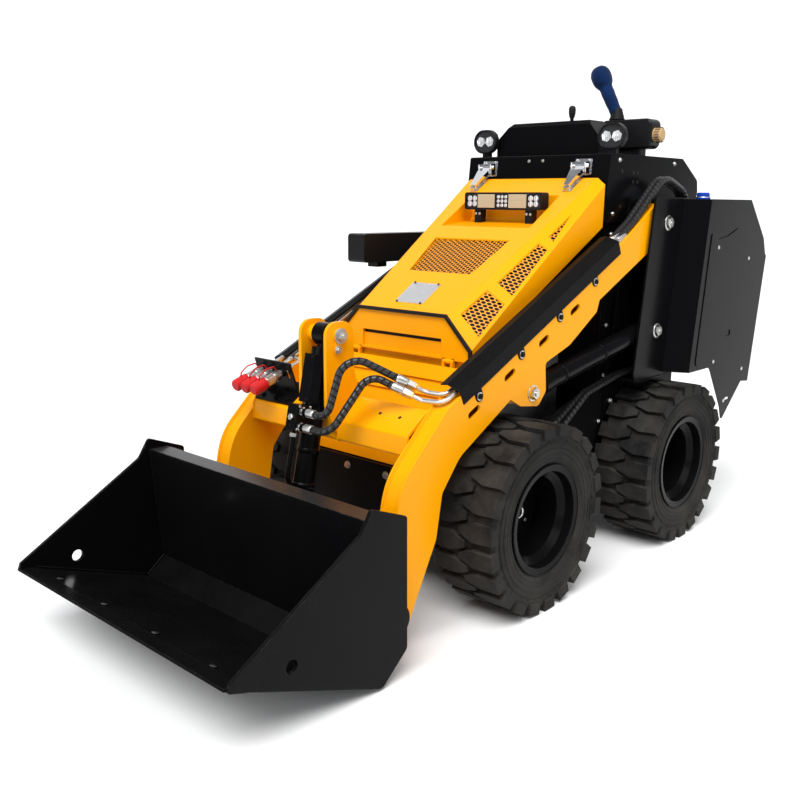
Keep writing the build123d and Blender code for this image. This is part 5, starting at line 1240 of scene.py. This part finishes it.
bucket_pins.finish("bucket_pin_ends", ZINC, "bucket")
wear = Shape()
for bolt_y in (-0.36, -0.12, 0.12, 0.36):
    wear.button((1.286, bolt_y, 0.1832), (-0.31, 0, 0.95), 0.010, 0.0025)
wear.finish("bucket_edge_bolts", DARK_STEEL, "bucket")

# %% [markdown]
# ## Wheels
#
# Each tyre gets moulded rings and a ring of short bars; each rim gets nuts with studs, a
# valve, a lip bead round its flange and a hub cap.

# %% Wheel details
WHEELS = (
    ("front_left", 0.181, 1),
    ("front_right", 0.181, -1),
    ("rear_left", -0.705, 1),
    ("rear_right", -0.705, -1),
)
AXLE_Z = 0.2925
WHEEL_Y = 0.4215
SIDEWALL_RINGS = (
    (0.1895, 0.1000, 0.0022),
    (0.205, 0.1018, 0.0014),
    (0.222, 0.1024, 0.0014),
    (0.238, 0.0998, 0.0022),
)
SIDEWALL_BARS, BAR_RING_R, BAR_RING_OUT = 44, 0.2465, 0.1013
LIP_R, LIP_OUT = 0.169, 0.0965
HUB_CAP = [(0.0495, 0), (0.0495, 0.002), (0.044, 0.0045), (0.030, 0.0055), (0.0228, 0.0055)]
HUB_CAP_OUT = -0.0146
NUT_CIRCLE_R, NUT_OUT = 0.076, -0.0398
STUB_END = [(0.0210, 0), (0.0205, 0.0008), (0.0120, 0.0010), (0.0118, -0.0030)]


def wheel_circle(centre, radius):
    """Closed circle round an axle."""
    return [on_circle(centre, radius, angle) for angle in turns(96, closed=True)]


for name, axle_x, side in WHEELS:
    out = ALONG_Y * side
    axle = at(axle_x, WHEEL_Y, AXLE_Z, side)
    body = f"wheel_{name}"
    rings = Shape()
    for radius, reach, size in SIDEWALL_RINGS:
        rings.tube(wheel_circle(axle + out * reach, radius), size, 6)
    for angle in turns(SIDEWALL_BARS, 0.5):
        place = on_circle(axle + out * BAR_RING_OUT, BAR_RING_R, angle)
        rings.block(place, (0.014, 0.0022, 0.0028), math.pi / 2 - angle)
    rings.finish(f"tyre_rings_{name}", TYRE, body)
    trim = Shape()
    trim.tube(wheel_circle(axle + out * LIP_OUT, LIP_R), 0.0026, 8)
    trim.lathe(axle + out * HUB_CAP_OUT, out, HUB_CAP, 48)
    trim.finish(f"rim_trim_{name}", BLACK, body)
    bolts = Shape()
    for angle in turns(5):
        seat = on_circle(axle, NUT_CIRCLE_R, angle) + out * NUT_OUT
        bolts.lathe(seat, out, [(0.0135, 0), (0.0135, 0.0012), (0.0105, 0.003)], 24)
        bolts.cylinder(seat + out * 0.0095, out, 0.0058, 0.0075, 18)
    valve = axle + Vector((0.108, 0, 0.022)) + out * -0.039
    bolts.cylinder(valve, out, 0.0040, 0.030, 16)
    bolts.cylinder(valve + out * 0.030, out, 0.0052, 0.009, 16)
    bolts.finish(f"rim_bolts_{name}", ZINC, body)
stub_ends = Shape()
for _, axle_x, side in WHEELS:
    stub_ends.lathe(at(axle_x, 0.4193, AXLE_Z, side), ALONG_Y * side, STUB_END)
stub_ends.finish("stub_axle_ends", STEEL, "chassis")

# %% [markdown]
# ## Towers, tanks and controls

# %% Tower pins, shields and frame bolts
TOWER_PIN_WASHER = [(0.0270, 0), (0.0270, 0.0024), (0.0255, 0.0032), (0.0105, 0.0032)]
SHIELD_BUTTONS = ((-0.90, 1.070), (-1.18, 1.020), (-1.20, 0.580), (-1.05, 0.470), (-0.93, 0.640))
SHIELD_FACE_Y = 0.505
TOWER_FOOT_BOLTS = ((-0.640, 0.460), (-0.520, 0.460), (-0.640, 0.520), (-0.520, 0.520))
TOWER_INNER_Y = 0.308
FRAME_SIDE_Y = 0.300
tower_metal = Shape()
for _, side in SIDES:
    out = ALONG_Y * side
    for pin in (ARM_PIVOT, LIFT_BASE_PIN):
        tower_metal.cylinder(at(pin.x, 0.430, pin.z, side), out, 0.0055, 0.004, 18)
        tower_metal.lathe(at(pin.x, 0.4175, pin.z, side), out, TOWER_PIN_WASHER, 36)
        tower_metal.hexagon(at(pin.x, 0.4200, pin.z, side), out, 0.0190, 0.0112, 0.2)
    for x, z in SHIELD_BUTTONS:
        tower_metal.button(at(x, SHIELD_FACE_Y, z, side), out, 0.0075, 0.003)
    for x, z in TOWER_FOOT_BOLTS:
        tower_metal.bolt(at(x, TOWER_INNER_Y, z, side), out, 0.0085)
    for x in (0.370, 0.10, -0.20, -0.46):
        tower_metal.bolt(at(x, FRAME_SIDE_Y, 0.452, side), out, 0.0075)
tower_metal.finish("frame_bolts", ZINC, "chassis")
tower_beads = Shape()
for _, side in SIDES:
    for foot_y in (0.3097, 0.4153):
        foot = [at(x, foot_y, 0.6105, side) for x in (-0.684, -0.512)]
        tower_beads.bead(foot, 0.0028)
    corners = ((-0.700, 0.7375), (-0.700, 0.4425), (-0.472, 0.4425))
    tower_beads.bead([at(x, 0.3028, z, side) for x, z in corners], 0.003, [0.01])
tower_beads.finish("tower_weld_beads", BLACK, "chassis")
FRONT_PLATE_X = 0.430
front_bolts = Shape()
for bolt_y in (-0.255, -0.085, 0.085, 0.255):
    front_bolts.bolt((FRONT_PLATE_X, bolt_y, 0.395), ALONG_X, 0.009)
for _, side in SIDES:
    for z in (0.27, 0.33):
        front_bolts.bolt(at(FRONT_PLATE_X, 0.268, z, side), ALONG_X, 0.009)
front_bolts.finish("front_plate_bolts", ZINC, "chassis")

# %% Filler cap and side box
CAP_BASE = Vector((-0.899, 0.430, 1.243))
CAP_RING = [(0.0262, 0), (0.0268, 0.0012), (0.0262, 0.0036), (0.0235, 0.0042)]
cap_ring = Shape()
cap_ring.lathe(CAP_BASE + ALONG_Z * 0.0045, ALONG_Z, CAP_RING, 48)
for x, z in ((-0.52, 1.092), (-0.02, 1.092), (-0.52, 1.022), (-0.02, 1.022)):
    cap_ring.button((x, -0.5198, z), -ALONG_Y, 0.006, 0.0002)
cap_ring.finish("tank_cap_ring", ALLOY, "chassis")
cap_ribs = Shape()
for angle in turns(20):
    place = CAP_BASE + Vector((0.0222 * math.cos(angle), 0.0222 * math.sin(angle), 0.0130))
    cap_ribs.block(place, (0.0016, 0.0028, 0.012), angle, "Z")
cap_ribs.finish("tank_cap_ribs", CAP_BLUE, "chassis")

# %% Boot, knob and lever
STICK_X = -0.769
BOOT_FOOT = Vector((STICK_X, 0.128, 1.528))
KNOB_MIDDLE = Vector((STICK_X, 0.3065, 1.470))
LEVER_FOOT = Vector((-0.579, 0.053, 1.515))
LEVER = [(0.0065, 0.0), (0.0065, 0.012), (0.0095, 0.016), (0.0125, 0.030), (0.0130, 0.044)]
LEVER += [(0.0110, 0.052), (0.0060, 0.0565), (0.0002, 0.0575)]
controls = Shape()
boot = []
for fold in range(9):
    boot.append((0.0285 - fold * 0.0016 + fold % 2 * 0.0022, 0.001 + fold * 0.0055))
controls.lathe(BOOT_FOOT, ALONG_Z, boot, 40)
for angle in turns(18):
    controls.block(on_circle(KNOB_MIDDLE, 0.0262, angle), (0.003, 0.020, 0.0016), -angle)
controls.lathe(LEVER_FOOT, ALONG_Z, LEVER, 28)
controls.finish("control_details", RUBBER, "chassis")

# %% Joystick grip
GRIP_FOOT = Vector((STICK_X, 0.126, 1.552))
GRIP_BALL = Vector((STICK_X, 0.052, 1.690))
GRIP_ROWS = [(0.0180, 0.000), (0.0215, 0.004), (0.0225, 0.030), (0.0238, 0.060), (0.0245, 0.085)]
GRIP_ROWS += [(0.0240, 0.102), (0.0262, 0.114), (0.0325, 0.126), (0.0372, 0.142), (0.0380, 0.156)]
GRIP_ROWS += [(0.0362, 0.170), (0.0310, 0.183), (0.0225, 0.1915), (0.0110, 0.1955)]
GRIP_TIP = (0.0002, 0.1960)
ROWS_EACH = 3
creased = []
for (low_r, low), (high_r, high) in zip(GRIP_ROWS, GRIP_ROWS[1:] + [GRIP_TIP]):
    for number in range(ROWS_EACH):
        share = number / ROWS_EACH
        level = low + (high - low) * share
        crease = 0.0004 * math.sin(50 * level * math.pi)
        creased.append((low_r + (high_r - low_r) * share + crease, level))
grip = Shape()
grip.lathe(GRIP_FOOT, GRIP_BALL - GRIP_FOOT, creased + [GRIP_TIP], 36)
SEAM = ((0.0, -0.0195), (0.5, -0.0242), (0.75, -0.0240))
seam = [GRIP_FOOT.lerp(GRIP_BALL, share) + ALONG_X * back for share, back in SEAM]
grip.tube(seam, 0.0016, 8)
grip_piece = grip.finish("joystick_grip", GRIP, "chassis")
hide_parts("joystick")

# %% [markdown]
# ## Stage
#
# A plain pale floor runs up into a wall behind the machine, as the camera sees it. A wide
# soft sun and a key light shine from above, and two weaker lights fill front and side.

# %% Floor
CURVE_R = 6.0
WALL_X = -9.0
WALL_TOP = 16.0
FLOOR_FRONT_X = 14.0
FLOOR_HALF_W = 18
floor_profile = [(FLOOR_FRONT_X, 0.0)]
for number in range(13):
    angle = math.pi / 2 * number / 12
    across, up = CURVE_R * math.sin(angle), CURVE_R * math.cos(angle)
    floor_profile.append((WALL_X + CURVE_R - across, CURVE_R - up))
floor_profile.append((WALL_X, WALL_TOP))
sweep = bmesh.new()
edges = (-FLOOR_HALF_W, FLOOR_HALF_W)
rows = [[sweep.verts.new((x, y, z)) for y in edges] for x, z in floor_profile]
for low, high in zip(rows, rows[1:]):
    face = sweep.faces.new((low[0], low[1], high[1], high[0]))
    face.smooth = True
bmesh.ops.recalc_face_normals(sweep, faces=sweep.faces)
floor_data = bpy.data.meshes.new("floor")
sweep.to_mesh(floor_data)
sweep.free()
floor_paint = new_material("Floor", (0.88, 0.88, 0.88), 0.9, edge=0.0, specular=0.1)[0]
floor_data.materials.append(floor_paint)
floor = bpy.data.objects.new("floor", floor_data)
bpy.context.scene.collection.objects.link(floor)
floor.rotation_euler = (0, 0, math.radians(42.8))
print("floor faces", len(floor_data.polygons))

# %% Camera
CAMERA_AT = Vector((2.4188, 1.9842, 1.2258))
CAMERA_YAW = 3.8886
CAMERA_PITCH = 0.212
CAMERA_ROLL = 0.0081
level = math.cos(CAMERA_PITCH)
forward = Vector(
    (math.cos(CAMERA_YAW) * level, math.sin(CAMERA_YAW) * level, -math.sin(CAMERA_PITCH))
)
right = forward.cross(ALONG_Z).normalized()
above = right.cross(forward)
turned_right = right * math.cos(CAMERA_ROLL) + above * math.sin(CAMERA_ROLL)
turned_above = above * math.cos(CAMERA_ROLL) - right * math.sin(CAMERA_ROLL)
camera_data = bpy.data.cameras.new("camera")
camera_data.sensor_width = 36
camera_data.lens = 41.5
camera = bpy.data.objects.new("camera", camera_data)
bpy.context.scene.collection.objects.link(camera)
turn = Matrix((turned_right, turned_above, -forward)).transposed().to_4x4()
camera.matrix_world = Matrix.Translation(CAMERA_AT) @ turn
bpy.context.scene.camera = camera
print("camera looks along", [round(value, 3) for value in forward])

# %% Lights and world


def add_light(name, kind, power, direction, place=(0, 0, 0)):
    """Light at a place that shines along a direction."""
    data = bpy.data.lights.new(name, kind)
    data.energy = power
    lamp = bpy.data.objects.new(name, data)
    bpy.context.scene.collection.objects.link(lamp)
    aim = Vector(direction).to_track_quat("-Z", "Y").to_matrix().to_4x4()
    lamp.matrix_world = Matrix.Translation(Vector(place)) @ aim
    return data


def area_light(name, place, target, size, power, tint=(1, 1, 1)):
    """Soft rectangular light aimed at a point."""
    data = add_light(name, "AREA", power, Vector(target) - Vector(place), place)
    data.shape = "RECTANGLE"
    data.size, data.size_y = size
    data.color = tint


sun = add_light("soft_sun", "SUN", 3.2, (-0.62, -0.28, -1.0))
sun.angle = math.radians(38)
area_light("key_light", (0.6, 2.6, 4.2), (0, 0, 0.6), (3.5, 2.5), 60, (1.0, 0.985, 0.965))
area_light("front_light", (4.6, -0.6, 1.9), (0.3, 0, 0.6), (2.6, 1.6), 35)
area_light("side_light", (-0.8, 4.6, 1.6), (-0.2, 0, 0.7), (3.0, 1.4), 30, (0.96, 0.98, 1.0))
world = bpy.data.worlds.new("world")
bpy.context.scene.world = world
world.use_nodes = True
background = world.node_tree.nodes["Background"]
background.inputs["Color"].default_value = (0.90, 0.93, 0.97, 1)
background.inputs["Strength"].default_value = 0.27
bpy.context.scene.view_settings.view_transform = "Standard"
print("lights:", len(bpy.data.lights))
